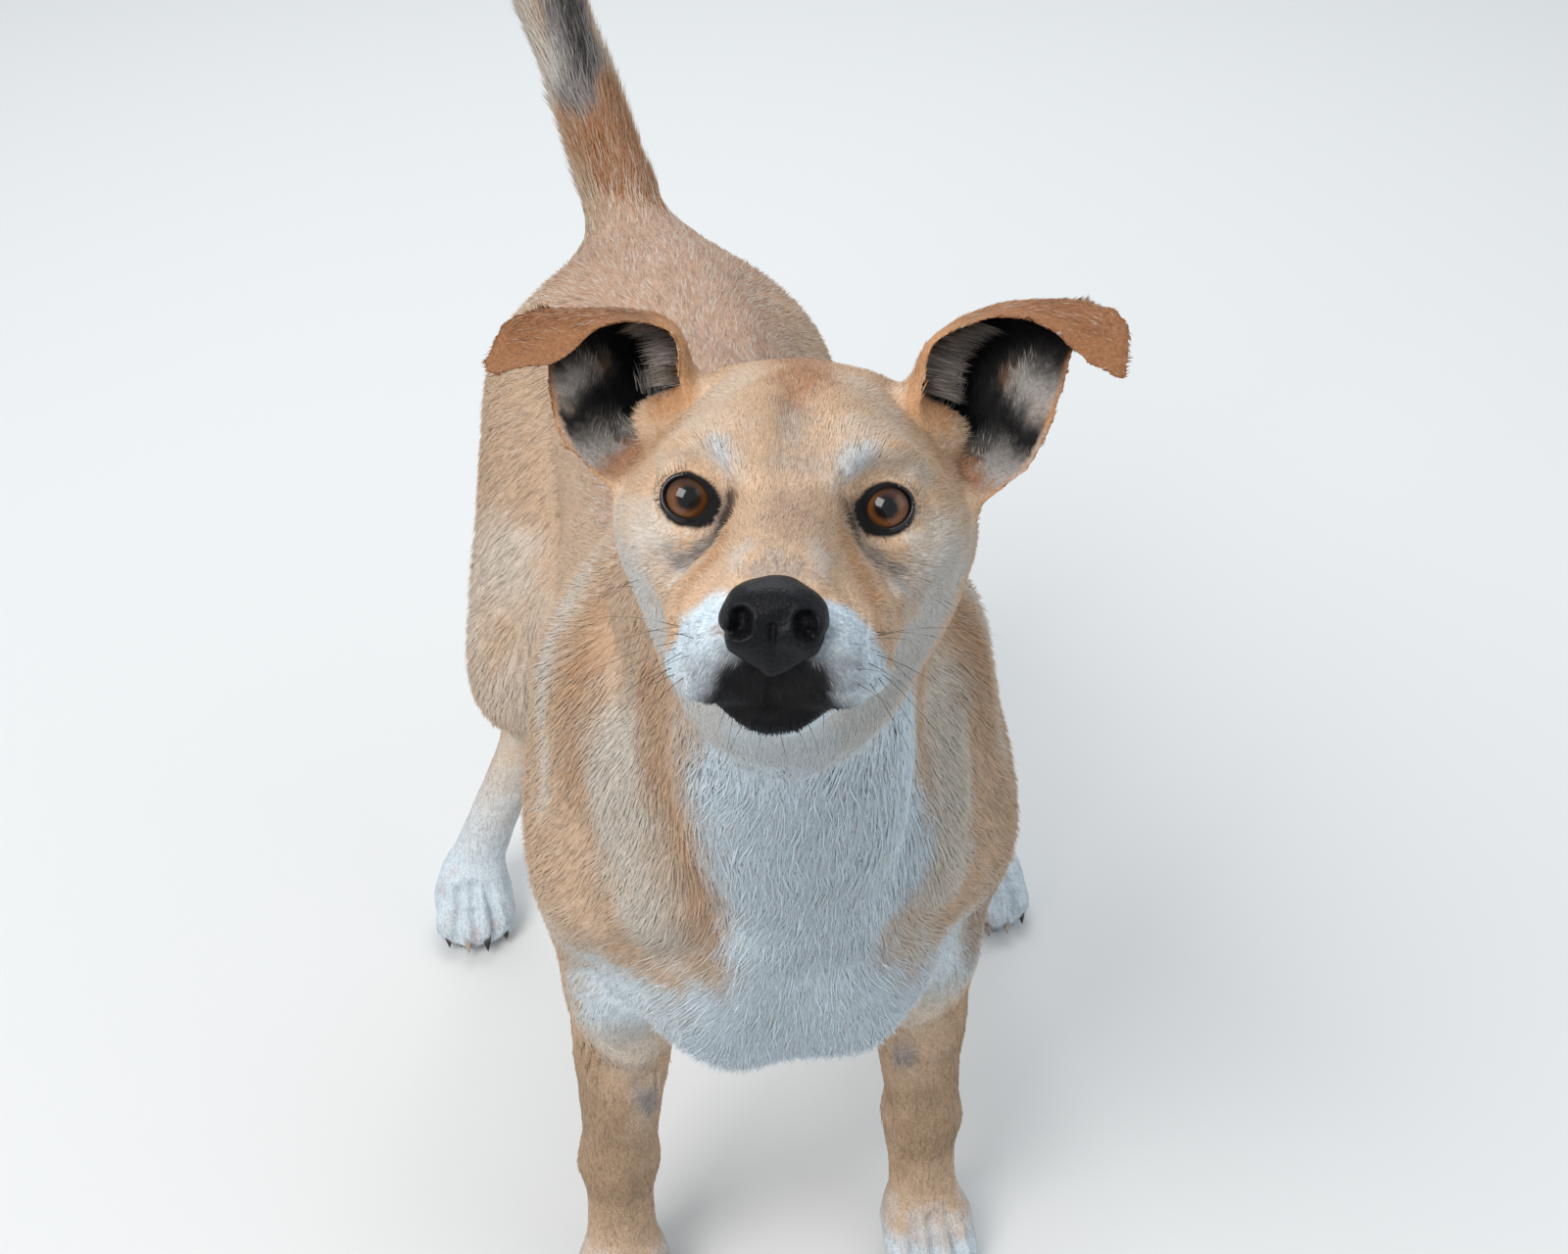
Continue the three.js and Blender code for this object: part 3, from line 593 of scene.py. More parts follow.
# Grooves between the toes, in millimetres from the middle of each paw.
PAW_MIDDLE = 0.033  # behind the front of the paw
TOE_GAPS = [
    [(-12.5, -36, 4), (-12.5, -27, 15), (-11, -16, 26), (-9, -4, 34)],
    [(0, -44, 4), (0, -34, 18), (0, -20, 28), (0, -4, 36)],
    [(12.5, -36, 4), (12.5, -27, 15), (11, -16, 26), (9, -4, 34)],
]
for end in ("front", "hind"):
    for name in ("left", "right"):
        toes = [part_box(f"claw_{end}_{name}_{toe}") for toe in (1, 4)]
        across = sum(corner.x for box in toes for corner in box) / 4
        paw_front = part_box(f"{end}_paw_{name}")[0].y
        paw = np.array([across - BODY_MIDDLE, paw_front + PAW_MIDDLE, 0]) * 1000
        for gap in TOE_GAPS:
            stroke(np.array(gap) + paw, 5.6, -4.6, sides=(1,), on_body=True)
            stroke(np.array(gap[:3]) + paw, 3.0, -2.0, sides=(1,), on_body=True)
        for toe in (-18.5, -6.3, 6.3, 18.5):
            knuckles = np.array([(toe, -24 - 6 * (abs(toe) < 10), 17), (toe * 0.9, -14, 27)])
            stroke(knuckles + paw, 5.5, 1.6, sides=(1,), on_body=True)

MOUTH_LINE = [(0, 74, -54), (10, 72.5, -54.5), (19, 68, -55), (25, 57, -56), (29, 40, -55), (31, 18, -51)]
drag([(20, 76, -46), (26, 68, -47), (30, 54, -48), (31, 38, -47)], 13, (2.6, 0.5, -4.6))
drag([(0, 74, -58), (8, 71, -58)], 9, (0, -1.0, -1.5))
stroke([(27, 76, -34), (30, 60, -34)], 9, -1.2)
stroke(MOUTH_LINE, 4.6, -1.6)
stroke(MOUTH_LINE, 2.4, -2.6)
stroke([(0, 79, -42), (0, 76, -53)], 3.0, -1.6, sides=(1,))
FACE_PRESSES = [
    # line, reach, rise: brows, sockets, cheekbones, the furrow of the brow and the muzzle's sides
    ([(13, 8), (20, 14), (30, 16.5), (40, 13), (46, 5)], 7, 1.7),
    ([(16, 5), (22, 10.5), (30, 12), (39, 9.5), (44, 2)], 4, -0.8),
    ([(17, -5), (23, -16), (32, -20), (42, -13)], 7, -1.5),
    ([(36, -26), (46, -14), (52, -4)], 12, 2.0),
    ([(0, 36), (0, 22), (0, 8)], 8, -1.4),
    ([(13, 32), (15, 18)], 13, 1.3),
    ([(19, -14), (24, -26), (31, -40)], 7, -2.0),
    ([(11, -4), (13, -14)], 6, 0.8),
]
for line, reach, rise in FACE_PRESSES:
    press(line, reach, rise)

# The lids: the skin over each eyeball sinks behind it inside the opening.
LID_FALL = 0.0030
LID_BALL = EYE_RADIUS + LID_THICKNESS
LID_CREASE = 0.0006
for side in (1, -1):
    distance, past_lid, bearing = seen_from_eye(places, side)
    near = np.flatnonzero((distance < 0.0270) & (past_lid < 9))
    outwards = (places[near] - EYE_CENTRES[side]) / distance[near, None]
    gap = past_lid[near]
    hold = (1 - smoothstep(gap, 0.8, 6.5)) * (1 - smoothstep(distance[near], 0.0180, 0.0265))
    over = distance[near] + (LID_BALL - distance[near]) * hold
    crease = np.exp(-(((gap - 3.4) / 0.9) ** 2)) * smoothstep(np.sin(bearing[near]), -0.1, 0.5)
    over -= LID_CREASE * crease
    inside = EYE_RADIUS - LID_FALL
    radius = inside + (over - inside) * smoothstep(gap, -0.7, 0.15)
    places[near] = EYE_CENTRES[side] + outwards * radius[:, None]
about_lids = np.zeros(len(places))
for side in (1, -1):
    distance, past_lid, _ = seen_from_eye(places, side)
    ring = smoothstep(past_lid, 1.4, 3.2) * (1 - smoothstep(past_lid, 8, 12)) * (distance < 0.028)
    about_lids = np.maximum(about_lids, ring)
relax(places, about_lids, 8)
set_places(skin.data, places)
only(skin)
bpy.ops.object.shade_smooth()
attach(skin, "root")
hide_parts(*FLESH)

# ---------------------------------------------------------------- the eyes
# Two balls of the solids' own size with the clear front bulging over a brown iris, turned to
# look up at the view, each held by a black, wet rim of bare skin.
IRIS_REACH = math.radians(41)
CORNEA_BULGE = 0.0010


def on_line(towards_nose, up, side, radius):
    """A place on a ball about the eye's middle, at millimetres from the line of sight."""
    flat = np.stack((towards_nose, up), axis=-1) / 1000 / EYE_RADIUS
    forward = np.sqrt(np.clip(1 - (flat**2).sum(-1, keepdims=True), 0.02, 1))
    local = unit(np.concatenate((flat, forward), axis=-1))
    return EYE_CENTRES[side] + (local @ eye_axes(side)) * radius


def settle(piece):
    """The piece's place, turn and size go into its mesh, and it is shaded smooth."""
    only(piece)
    bpy.ops.object.transform_apply(location=True, rotation=True, scale=True)
    bpy.ops.object.shade_smooth()


def add_node(surface, kind):
    """A new node in the material of the surface's shader."""
    return surface.id_data.nodes.new(f"ShaderNode{kind}")


def feed(source, target):
    target.id_data.links.new(source, target)


def attribute(surface, name):
    """The node that reads a value stored on the mesh."""
    stored = add_node(surface, "Attribute")
    stored.attribute_name = name
    return stored


def pattern(surface, scale, detail=2, kind="TexNoise", output="Fac"):
    """A pattern over the piece's own place, this many cells to the metre."""
    grain = add_node(surface, kind)
    grain.inputs["Scale"].default_value = scale
    grain.inputs["Detail"].default_value = detail
    feed(add_node(surface, "TexCoord").outputs["Object"], grain.inputs["Vector"])
    return grain.outputs[output]


def colour_scale(surface, value, stops):
    """A value turned into colour, by the position and colour of each stop."""
    scale = add_node(surface, "ValToRGB")
    elements = scale.color_ramp.elements
    while len(elements) < len(stops):
        elements.new(0.5)
    for element, (position, colour) in zip(elements, stops):
        element.position = position
        element.color = (*colour, 1)
    feed(value, scale.inputs["Fac"])
    return scale.outputs["Color"]


def times_plus(surface, value, factor, add):
    """A value multiplied by a factor, to which a number or another value is added."""
    sum_node = add_node(surface, "Math")
    sum_node.operation = "MULTIPLY_ADD"
    sum_node.inputs[1].default_value = factor
    feed(value, sum_node.inputs[0])
    if isinstance(add, float):
        sum_node.inputs[2].default_value = add
    else:
        feed(add, sum_node.inputs[2])
    return sum_node.outputs[0]


def bump(surface, height, strength, distance, invert=False):
    """The surface is shaded as if a pattern stood out of it, or into it."""
    relief = add_node(surface, "Bump")
    relief.invert = invert
    relief.inputs["Strength"].default_value = strength
    relief.inputs["Distance"].default_value = distance
    feed(height, relief.inputs["Height"])
    feed(relief.outputs["Normal"], surface.inputs["Normal"])


def note(piece, name, values):
    """One number stored at each vertex of the piece."""
    layer = piece.data.attributes.new(name, "FLOAT", "POINT")
    layer.data.foreach_set("value", values.astype(np.float32))


EYE_EDGE = 1.25  # the last ring of the iris, in iris radii
EYE_RINGS = [
    # iris radii from the pupil's middle, colour
    (0.0, (0.002, 0.002, 0.002)), (0.38, (0.003, 0.002, 0.002)), (0.46, (0.055, 0.020, 0.008)),
    (0.62, (0.150, 0.055, 0.016)), (0.88, (0.090, 0.032, 0.010)), (1.02, (0.006, 0.004, 0.003)),
    (EYE_EDGE, (0.016, 0.012, 0.011)),
]
eye_material, eye_surface = shader("eye", 0.16, 0.15)
eye_surface.inputs["Coat Weight"].default_value = 0.6
eye_surface.inputs["Coat Roughness"].default_value = 0.02
off_axis = attribute(eye_surface, "off_axis").outputs["Fac"]
fibres = times_plus(eye_surface, pattern(eye_surface, 1100, 3), 0.10, off_axis)
along_rings = times_plus(eye_surface, fibres, 1 / EYE_EDGE, -0.04)
ring_stops = [(radius / EYE_EDGE, colour) for radius, colour in EYE_RINGS]
# The upper part of the iris is in the shade of the lid.
lid_mix = add_node(eye_surface, "Mix")
lid_mix.data_type = "RGBA"
lid_mix.inputs["B"].default_value = (0.006, 0.004, 0.004, 1)
feed(attribute(eye_surface, "lid_shade").outputs["Fac"], lid_mix.inputs["Factor"])
feed(colour_scale(eye_surface, along_rings, ring_stops), lid_mix.inputs["A"])
feed(lid_mix.outputs["Result"], eye_surface.inputs["Base Color"])

rim_material, rim_surface = shader("lid_rim", 0.30)
rim_surface.inputs["Base Color"].default_value = (0.006, 0.006, 0.008, 1)
bump(rim_surface, pattern(rim_surface, 1500, 3), 0.35, 0.0002)
RIM_ABOVE_EYE = 0.00055
RIM_ROUND = 16
for side, name in ((1, "left"), (-1, "right")):
    sight = Vector(eye_axes(side)[2])
    bpy.ops.object.select_all(action="DESELECT")
    bpy.ops.mesh.primitive_uv_sphere_add(
        segments=64, ring_count=40, radius=EYE_RADIUS, location=EYE_CENTRES[side]
    )
    eyeball = bpy.context.object
    eyeball.name = f"eyeball_{name}"
    eyeball.rotation_euler = sight.to_track_quat("Z", "Y").to_euler()
    settle(eyeball)
    ball = places_of(eyeball.data)
    directions = unit(ball - EYE_CENTRES[side])
    arc = np.arccos(np.clip(directions @ np.array(sight), -1, 1))
    dome = np.clip(1 - (arc / IRIS_REACH) ** 2, 0, 1)
    set_places(eyeball.data, ball + directions * (CORNEA_BULGE * dome)[:, None])
    note(eyeball, "off_axis", arc / IRIS_REACH)
    rise = (ball - EYE_CENTRES[side]) @ eye_axes(side)[1] * 1000
    note(eyeball, "lid_shade", 0.85 * smoothstep(rise, 0.5, 6.0))
    eyeball.data.materials.append(eye_material)
    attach(eyeball, "root")
    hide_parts(f"eye_{name}")

    bpy.ops.object.select_all(action="DESELECT")
    bpy.ops.mesh.primitive_torus_add(
        major_segments=len(OPENING_TURNS), minor_segments=RIM_ROUND, major_radius=0.008, minor_radius=0.001
    )
    rim = bpy.context.object
    rim.name = f"lid_rim_{name}"
    settle(rim)
    middle = on_line(opening_in, opening_up, side, EYE_RADIUS + RIM_ABOVE_EYE)
    outward = unit(middle - EYE_CENTRES[side])
    tangent = unit(np.roll(middle, -1, axis=0) - np.roll(middle, 1, axis=0))
    across = np.cross(tangent, outward)
    # The lower rim shows more of its wet edge than the upper one.
    thick = 0.00080 + 0.00025 * np.clip(-np.sin(OPENING_TURNS), 0, 1)
    bends = np.linspace(0, 2 * math.pi, RIM_ROUND, endpoint=False)
    ring = middle[:, None] + thick[:, None, None] * (
        np.cos(bends)[None, :, None] * across[:, None] + 0.8 * np.sin(bends)[None, :, None] * outward[:, None]
    )
    set_places(rim.data, ring.reshape(-1, 3))
    edit_whole(rim, bpy.ops.mesh.normals_make_consistent, inside=False)
    rim.data.materials.append(rim_material)
    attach(rim, "root")

# ---------------------------------------------------------------- the nose
# Black pebbled leather over the end of the muzzle, with two comma-shaped nostrils and a groove
# down the middle. It is the solid remeshed with finer faces and worn smooth, with the nostrils
# and the groove pressed in.
nose = joined_copy(["nose"], "nose_leather")
NOSE_SWELL = 0.0001
NOSE_GRAIN = 0.0007
NOSE_SMOOTHING_ROUNDS = 44
edit_whole(nose, bpy.ops.transform.shrink_fatten, value=NOSE_SWELL)
remesh(nose, NOSE_GRAIN)
smooth(nose, NOSE_SMOOTHING_ROUNDS)
apply_modifiers(nose)


def dent(piece, line, reach, depth, direction):
    """Along a line in the head's millimetres, on both sides, the piece is pressed in."""
    shape = places_of(piece.data)
    local = in_head(shape)
    for side in (1, -1):
        mirrored = along(line) * (side, 1, 1)
        gaps = np.linalg.norm((local[:, None] - mirrored[None]) * (1, 0.35, 1), axis=2).min(1)
        inwards = unit(np.array(direction, float) * (side, 1, 1)) @ HEAD_AXES
        shape += fading(gaps, reach, 1.5)[:, None] * depth / 1000 * inwards
    set_places(piece.data, shape)


dent(nose, [(8.5, 88, -34.5), (6.5, 88, -38)], 6.0, 2.0, (1, 0.4, -0.5))
dent(nose, [(8.8, 90, -25.6), (8.9, 91, -27.8)], 4.0, 5.5, (-0.1, -1, 0.1))
dent(nose, [(9.6, 90, -28.6), (12.2, 86, -30.2), (14.4, 80, -29.2)], 2.0, 2.4, (-0.5, -1, 0.2))
dent(nose, [(0, 92, -27), (0, 90, -41)], 1.7, 0.9, (0, -1, 0))
settle(nose)
nose_places = places_of(nose.data)
nose_normals = normals_of(nose.data)
nose_tree = tree_of(nose_places)
NOSE_SPOT = (0, 80, -27)
NOSE_NEARBY = 30


def past_nose(places):
    """How far outside the leather places near it are, in metres, and which way that is."""
    outside = np.full(len(places), 1.0)
    away = np.zeros_like(places)
    for number in np.flatnonzero(np.linalg.norm(in_head(places) - NOSE_SPOT, axis=1) < NOSE_NEARBY):
        _, nearest, gap = nose_tree.find(places[number])
        behind = (places[number] - nose_places[nearest]) @ nose_normals[nearest]
        outside[number] = math.copysign(gap, behind)
        away[number] = nose_normals[nearest]
    return outside, away


# The skin is drawn in to meet the edge of the leather.
places = places_of(skin.data)
DRAWN_IN_WITHIN = 0.006
for _ in range(2):
    outside, away = past_nose(places)
    pull = outside * (1 - smoothstep(outside, 0, DRAWN_IN_WITHIN))
    draw_in = np.where((outside > 0) & (outside < DRAWN_IN_WITHIN), pull, 0)
    draw_in = diffused(draw_in, pairs, 2)
    places -= away * draw_in[:, None]
set_places(skin.data, places)
leather, leather_surface = shader("nose_leather", 0.47, 0.16)
pebbles = pattern(leather_surface, 950, 0, "TexVoronoi", "Distance")
# The leather is painted darker in the grooves between its pebbles: painted shade.
LEATHER_GROOVE_SHADE = [(0.0, (0.009, 0.009, 0.012)), (0.7, (0.003, 0.003, 0.004))]
feed(colour_scale(leather_surface, pebbles, LEATHER_GROOVE_SHADE), leather_surface.inputs["Base Color"])
bump(leather_surface, pebbles, 0.45, 0.0003, invert=True)
nose.data.materials.append(leather)
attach(nose, "root")
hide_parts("nose")

# ---------------------------------------------------------------- the claws
# Blunt, curved horn, dark on most toes and paler on a few. Each is the solid's cone with its
# edges and point worn round.
CLAWS = [name for name in nodes if name.startswith("claw")]
CLAW_SWELL = 0.0011
CLAW_GRAIN = 0.0006
CLAW_SMOOTHING_ROUNDS = 26
CLAW_LENGTH = 0.68  # of the solid's, as the tips are hidden in hair
CLAW_MARGIN = 0.002
claws = joined_copy(CLAWS, "claws")
edit_whole(claws, bpy.ops.transform.shrink_fatten, value=CLAW_SWELL)
remesh(claws, CLAW_GRAIN)
smooth(claws, CLAW_SMOOTHING_ROUNDS)
apply_modifiers(claws)
claw_places = places_of(claws.data)
for name in CLAWS:
    low, high = (np.array(corner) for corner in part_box(name))
    own = np.all((claw_places > low - CLAW_MARGIN) & (claw_places < high + CLAW_MARGIN), axis=1)
    claw_places[own, 1] = high[1] - (high[1] - claw_places[own, 1]) * CLAW_LENGTH
set_places(claws.data, claw_places)
settle(claws)
horn, horn_surface = shader("horn", 0.42)
HORN_SHADES = [(0.46, (0.020, 0.016, 0.014)), (0.60, (0.40, 0.31, 0.26))]
horn_colour = colour_scale(horn_surface, pattern(horn_surface, 55, 3), HORN_SHADES)
feed(horn_colour, horn_surface.inputs["Base Color"])
claws.data.materials.append(horn)
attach(claws, "root")
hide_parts(*CLAWS)

# ---------------------------------------------------------------- the markings
# Tan and fawn above, cream on the ruff and the flanks, white on the muzzle, throat, chest and
# toes, and black about the eyes, the lips and inside the ears. Skin and hair share them.


def linear(*colour):
    """A colour as it looks, turned into the light that it reflects."""
    colour = np.array(colour)
    return np.where(colour > 0.04045, ((colour + 0.055) / 1.055) ** 2.4, colour / 12.92)


TAN = linear(0.855, 0.72, 0.595)
FAWN = linear(0.82, 0.70, 0.59)
RUST = linear(0.69, 0.48, 0.33)
GINGER = linear(0.77, 0.58, 0.42)
# A darker tan: the forelegs' and the left chest side's own tan, darkened further as painted shade.
OAK_WITH_PAINTED_SHADE = linear(0.63, 0.52, 0.41)
SADDLE = linear(0.775, 0.64, 0.55)
CREAM = linear(0.87, 0.835, 0.785)
PALE = linear(0.83, 0.83, 0.82)
# White coat, tinted blue as painted cool light of the sky.
SKY_TINTED_WHITE = linear(0.86, 0.92, 0.96)
GREY = linear(0.53, 0.535, 0.55)
SMOKE = linear(0.40, 0.39, 0.395)
# The bare skin of the lids: slightly grey, and lightened further as painted sheen.
LID_SKIN_AND_SHEEN = linear(0.095, 0.088, 0.092)
FRINGE = linear(0.68, 0.66, 0.64)
BROWN = linear(0.30, 0.22, 0.18)
COAL = linear(0.085, 0.082, 0.09)
BLACK = linear(0.045, 0.043, 0.052)
PINK = linear(0.72, 0.55, 0.50)


def lattice(cells):
    """A number from 0 to 1 for each cell, mixed from its three whole numbers."""
    mixed = cells[..., 0] * 73856093 ^ cells[..., 1] * 19349663 ^ cells[..., 2] * 83492791
    mixed = (mixed ^ (mixed >> 13)) * 1274126177
    return ((mixed ^ (mixed >> 16)) & 0xFFFF) / 65535.0


def mottle(places, size, seed=0):
    """Soft random patches of a size in metres, from 0 to 1."""
    scaled = places / size + 17.3 * seed + 500
    cells = np.floor(scaled).astype(np.int64)
    part = scaled - cells
    part = part * part * (3 - 2 * part)
    total = np.zeros(len(places))
    for corner in range(8):
        step = np.array([corner & 1, (corner >> 1) & 1, corner >> 2])
        weight = np.prod(np.where(step, part, 1 - part), axis=1)
        total += weight * lattice(cells + step)
    return total


def chain_gap(places, chain):
    """How far outside a chain of balls each place is. A ball is x, y, z and its radius."""
    chain = np.asarray(chain, float)
    gap = np.linalg.norm(places - chain[0, :3], axis=1) - chain[0, 3]
    for start, end in zip(chain[:-1], chain[1:]):
        line = end[:3] - start[:3]
        share = np.clip((places - start[:3]) @ line / max(line @ line, 1e-9), 0, 1)
        nearest = np.linalg.norm(places - start[:3] - share[:, None] * line, axis=1)
        gap = np.minimum(gap, nearest - start[3] - share * (end[3] - start[3]))
    return gap


# Each marking: its colour, how strongly it covers, how soft its edge is, and its chain of
# balls in millimetres. On the body x is counted from the middle, and z from the floor.
BODY_MARKINGS = [
    (SADDLE, 0.95, 40, [(0, -110, 520, 66), (0, 0, 505, 84), (0, 110, 500, 84), (-6, 220, 470, 78),
                        (-8, 285, 430, 36)]),
    (CREAM, 0.60, 40, [(75, -20, 268, 30), (70, 90, 300, 34), (105, 110, 262, 30)]),
    (CREAM, 0.70, 30, [(100, 140, 330, 26), (120, 170, 220, 34), (140, 210, 120, 40),
                       (150, 200, 60, 40)]),
    (CREAM, 0.85, 10, [(66, -128, 505, 5), (82, -137, 474, 7), (93, -144, 452, 7), (98, -148, 434, 6),
                       (101, -158, 395, 5)]),
    (CREAM, 0.90, 28, [(66, -215, 480, 14), (70, -198, 448, 26), (64, -212, 400, 22),
                       (52, -222, 340, 14)]),
    # Painted shadow: a rust line below the back of the jaw, where the head shades the neck.
    (RUST, 0.50, 12, [(62, -232, 520, 5), (58, -212, 490, 6), (56, -226, 464, 5)]),
    (CREAM, 0.70, 30, [(84, -160, 320, 26), (76, -185, 300, 26), (80, -140, 250, 24)]),
    # The three ginger lines follow the creases pressed into the neck and chest: painted shade of the creases.
    (GINGER, 0.55, 14, [(60, -150, 505, 7), (72, -158, 480, 7), (82, -166, 450, 5), (88, -172, 415, 3)]),
    (GINGER, 0.50, 24, [(66, -284, 580, 8), (60, -250, 530, 10), (57, -230, 490, 10), (48, -246, 438, 9),
                        (40, -234, 390, 7)]),
    (GINGER, 0.20, 16, [(84, -168, 300, 3), (60, -206, 345, 5), (40, -228, 372, 5)]),
    (CREAM, 0.60, 30, [(0, -60, 236, 60), (0, 60, 240, 50), (0, 150, 290, 40)]),
    (SKY_TINTED_WHITE, 0.85, 26, [(0, -225, 298, 48), (46, -212, 298, 34), (78, -176, 296, 20),
                       (78, -158, 262, 24)]),
    (CREAM, 0.70, 22, [(80, -150, 240, 18), (68, -137, 212, 14)]),
    # The forelegs' tan is darkened as painted shade of the body above them.
    (OAK_WITH_PAINTED_SHADE, 0.75, 30, [(96, -116, 200, 14), (90, -110, 140, 26), (88, -110, 90, 26)]),
    (CREAM, 0.45, 14, [(60, -130, 180, 8), (62, -128, 140, 6), (66, -128, 110, 5)]),
    (GREY, 0.80, 8, [(72, -128, 182, 4), (62, -122, 162, 4)]),
]
SADDLE_CHAIN = BODY_MARKINGS[0][3]
# The white bib runs further out on the dog's left.
BIB_MARKINGS = [
    (SKY_TINTED_WHITE, 1.0, 16, [(-10, -330, 560, 34), (-4, -290, 510, 46), (6, -262, 458, 50), (10, -240, 414, 47),
                      (0, -238, 376, 33), (0, -236, 352, 31), (0, -226, 322, 40), (0, -205, 290, 54)]),
    # On the dog's left the side of the chest is tan, darkened as painted shade of the side away from the
    # strongest lamp.
    (OAK_WITH_PAINTED_SHADE, 0.75, 16, [(92, -164, 335, 12), (92, -156, 292, 13), (90, -148, 268, 7)]),
]
TAIL_MARKINGS = [
    (CREAM, 0.80, 9, [(-52, 352, 512, 11), (-60, 376, 560, 13), (-72, 390, 640, 12), (-80, 384, 700, 9)]),
    (CREAM, 0.70, 8, [(-8, 358, 520, 6), (-14, 374, 560, 8), (-34, 384, 630, 8)]),
    (RUST, 0.80, 14, [(4, 290, 458, 20), (-12, 314, 480, 22), (-16, 336, 500, 15), (-18, 346, 512, 9)]),
    (RUST, 0.70, 10, [(-20, 308, 474, 14), (-34, 328, 490, 12), (-38, 338, 503, 8)]),
    (GREY, 0.85, 9, [(-30, 341, 507, 8), (-35, 344, 514, 9), (-32, 355, 534, 14), (-38, 364, 558, 14),
                     (-46, 372, 590, 12), (-54, 376, 620, 9)]),
    (PALE, 0.80, 6, [(-44, 350, 520, 4), (-44, 362, 545, 5)]),
    (BLACK, 0.75, 8, [(-30, 350, 526, 5), (-31, 357, 537, 7), (-35, 365, 557, 7), (-42, 371, 585, 5)]),
]
HEAD_MARKINGS = [
    (CREAM, 0.45, 18, [(20, -46, 38, 8), (34, -14, 22, 8), (15, 2, 22, 4)]),
    (GINGER, 0.45, 14, [(42, -44, 24, 8), (50, -40, 14, 6)]),
    (GINGER, 0.35, 10, [(10, -30, 36, 4), (11, -10, 28, 3)]),
    (PALE, 0.90, 22, [(31, 6, -26, 8), (42, -4, -24, 13), (50, -22, -30, 17), (44, -20, -44, 17),
                      (30, -10, -60, 16)]),
    (CREAM, 0.60, 14, [(42, 0, -10, 5), (50, -14, -8, 6), (56, -34, -8, 6)]),
    (SKY_TINTED_WHITE, 0.85, 18, [(0, 30, -74, 20), (0, -20, -80, 28), (0, -60, -92, 34)]),
    (RUST, 0.80, 12, [(0, -76, 46, 8), (0, -50, 43, 10), (0, -31, 38, 8), (0, -14, 29, 3)]),
    (GREY, 0.52, 12, [(0, -12, 26, 4), (0, 0, 18, 6), (3, 8, 12, 5)]),
    (RUST, 0.35, 12, [(0, 30, 4, 6), (0, 47, -1, 6), (0, 62, -6, 5)]),
    (GREY, 0.22, 12, [(0, 28, 4, 8), (0, 47, -1, 9), (0, 62, -6, 7)]),
    (PALE, 0.45, 8, [(11, 62, -9, 4), (12, 72, -12, 3)]),
    (GREY, 0.55, 6, [(0, 72, -10, 4), (0, 77, -13, 5), (9, 77, -13, 4)]),
    (GINGER, 0.80, 9, [(18, 22, -7, 3), (22, 37, -16, 6), (26, 52, -23, 5), (27, 62, -28, 3)]),
    (RUST, 0.80, 9, [(55, -51, 10, 6), (62, -50, 8, 6), (63, -46, 0, 5)]),
    (PALE, 0.50, 10, [(15, 12, 8, 2), (20, 7, 13, 4), (24, 5, 18, 2.5)]),
    (SKY_TINTED_WHITE, 0.60, 7, [(19, 8, 12, 2), (23, 5, 17, 1)]),
    (CREAM, 0.60, 6, [(27, 3, 15, 2), (34, -1, 14, 2), (41, -10, 10, 2)]),
    (SMOKE, 0.72, 9, [(20, 8, -4, 4), (23, 12, -13, 4.5), (31, 7, -18, 4.5), (38, 0, -17, 2)]),
    (BROWN, 0.70, 7, [(19, 10, 4, 2.5), (17.5, 12, -3, 4), (18, 12, -10, 3.5), (21, 13, -15, 2)]),
    (BLACK, 0.60, 5, [(20, 10, 2, 2.5), (19, 11, -4, 3.5), (20, 11, -10, 2.5)]),
    (PALE, 0.90, 12, [(24, 50, -62, 9), (29, 26, -62, 12), (31, 0, -64, 15), (30, -24, -66, 15),
                      (24, -50, -74, 18)]),
    (SKY_TINTED_WHITE, 1.0, 7, [(15, 82, -21, 3), (19, 78, -29, 6)]),
    (SKY_TINTED_WHITE, 1.0, 7, [(14, 84, -14, 1), (17, 79, -23, 4), (22, 74, -34, 8), (27, 62, -43, 9),
                     (31, 44, -48, 7), (33, 34, -48, 4)]),
    (SKY_TINTED_WHITE, 1.0, 6, [(0, 80, -38, 12), (14, 81, -38, 9), (20, 77, -40, 9)]),
    (SKY_TINTED_WHITE, 1.0, 6, [(0, 78, -50, 12), (18, 72, -50, 11), (26, 58, -54, 8), (30, 40, -54, 6)]),
    (SKY_TINTED_WHITE, 1.0, 6, [(0, 68, -64, 10), (12, 60, -66, 12), (20, 34, -64, 14)]),
    (GREY, 0.65, 7, [(0, 79, -42, 12), (12, 79, -44, 8), (21, 72, -50, 5)]),
    (GREY, 0.55, 8, [(0, 80, -40, 18), (16, 77, -45, 10)]),
    (BLACK, 0.98, 4, [(0, 68, -50, 9), (9, 67, -51, 8), (16, 64, -53, 5)]),
    (COAL, 0.96, 6, [(0, 78, -42, 12), (10, 79, -43, 6.5)]),
    (COAL, 0.97, 5, [(0, 77, -43, 9), (8, 77, -47, 8), (15, 73, -52, 5.5), (20.5, 68, -54, 3.5),
                     (25, 58, -56, 2)]),
    (BLACK, 0.98, 3, [(0, 73, -56.5, 7), (9, 71, -57, 6), (16, 67, -56.5, 4), (21, 61, -56, 2.5),
                      (28, 42, -55.5, 1.5)]),
]
MOUTH_CRACK = [
    (0, 74, -54, 1.3), (10, 72, -54.5, 1.3), (19, 67, -55, 1.2), (25, 56, -56, 1), (29, 40, -55, 0.8),
]


def covered(colour, share, shade):
    """Each place's colour, covered with the shade as far as its share says."""
    return colour + share[:, None] * (shade - colour)


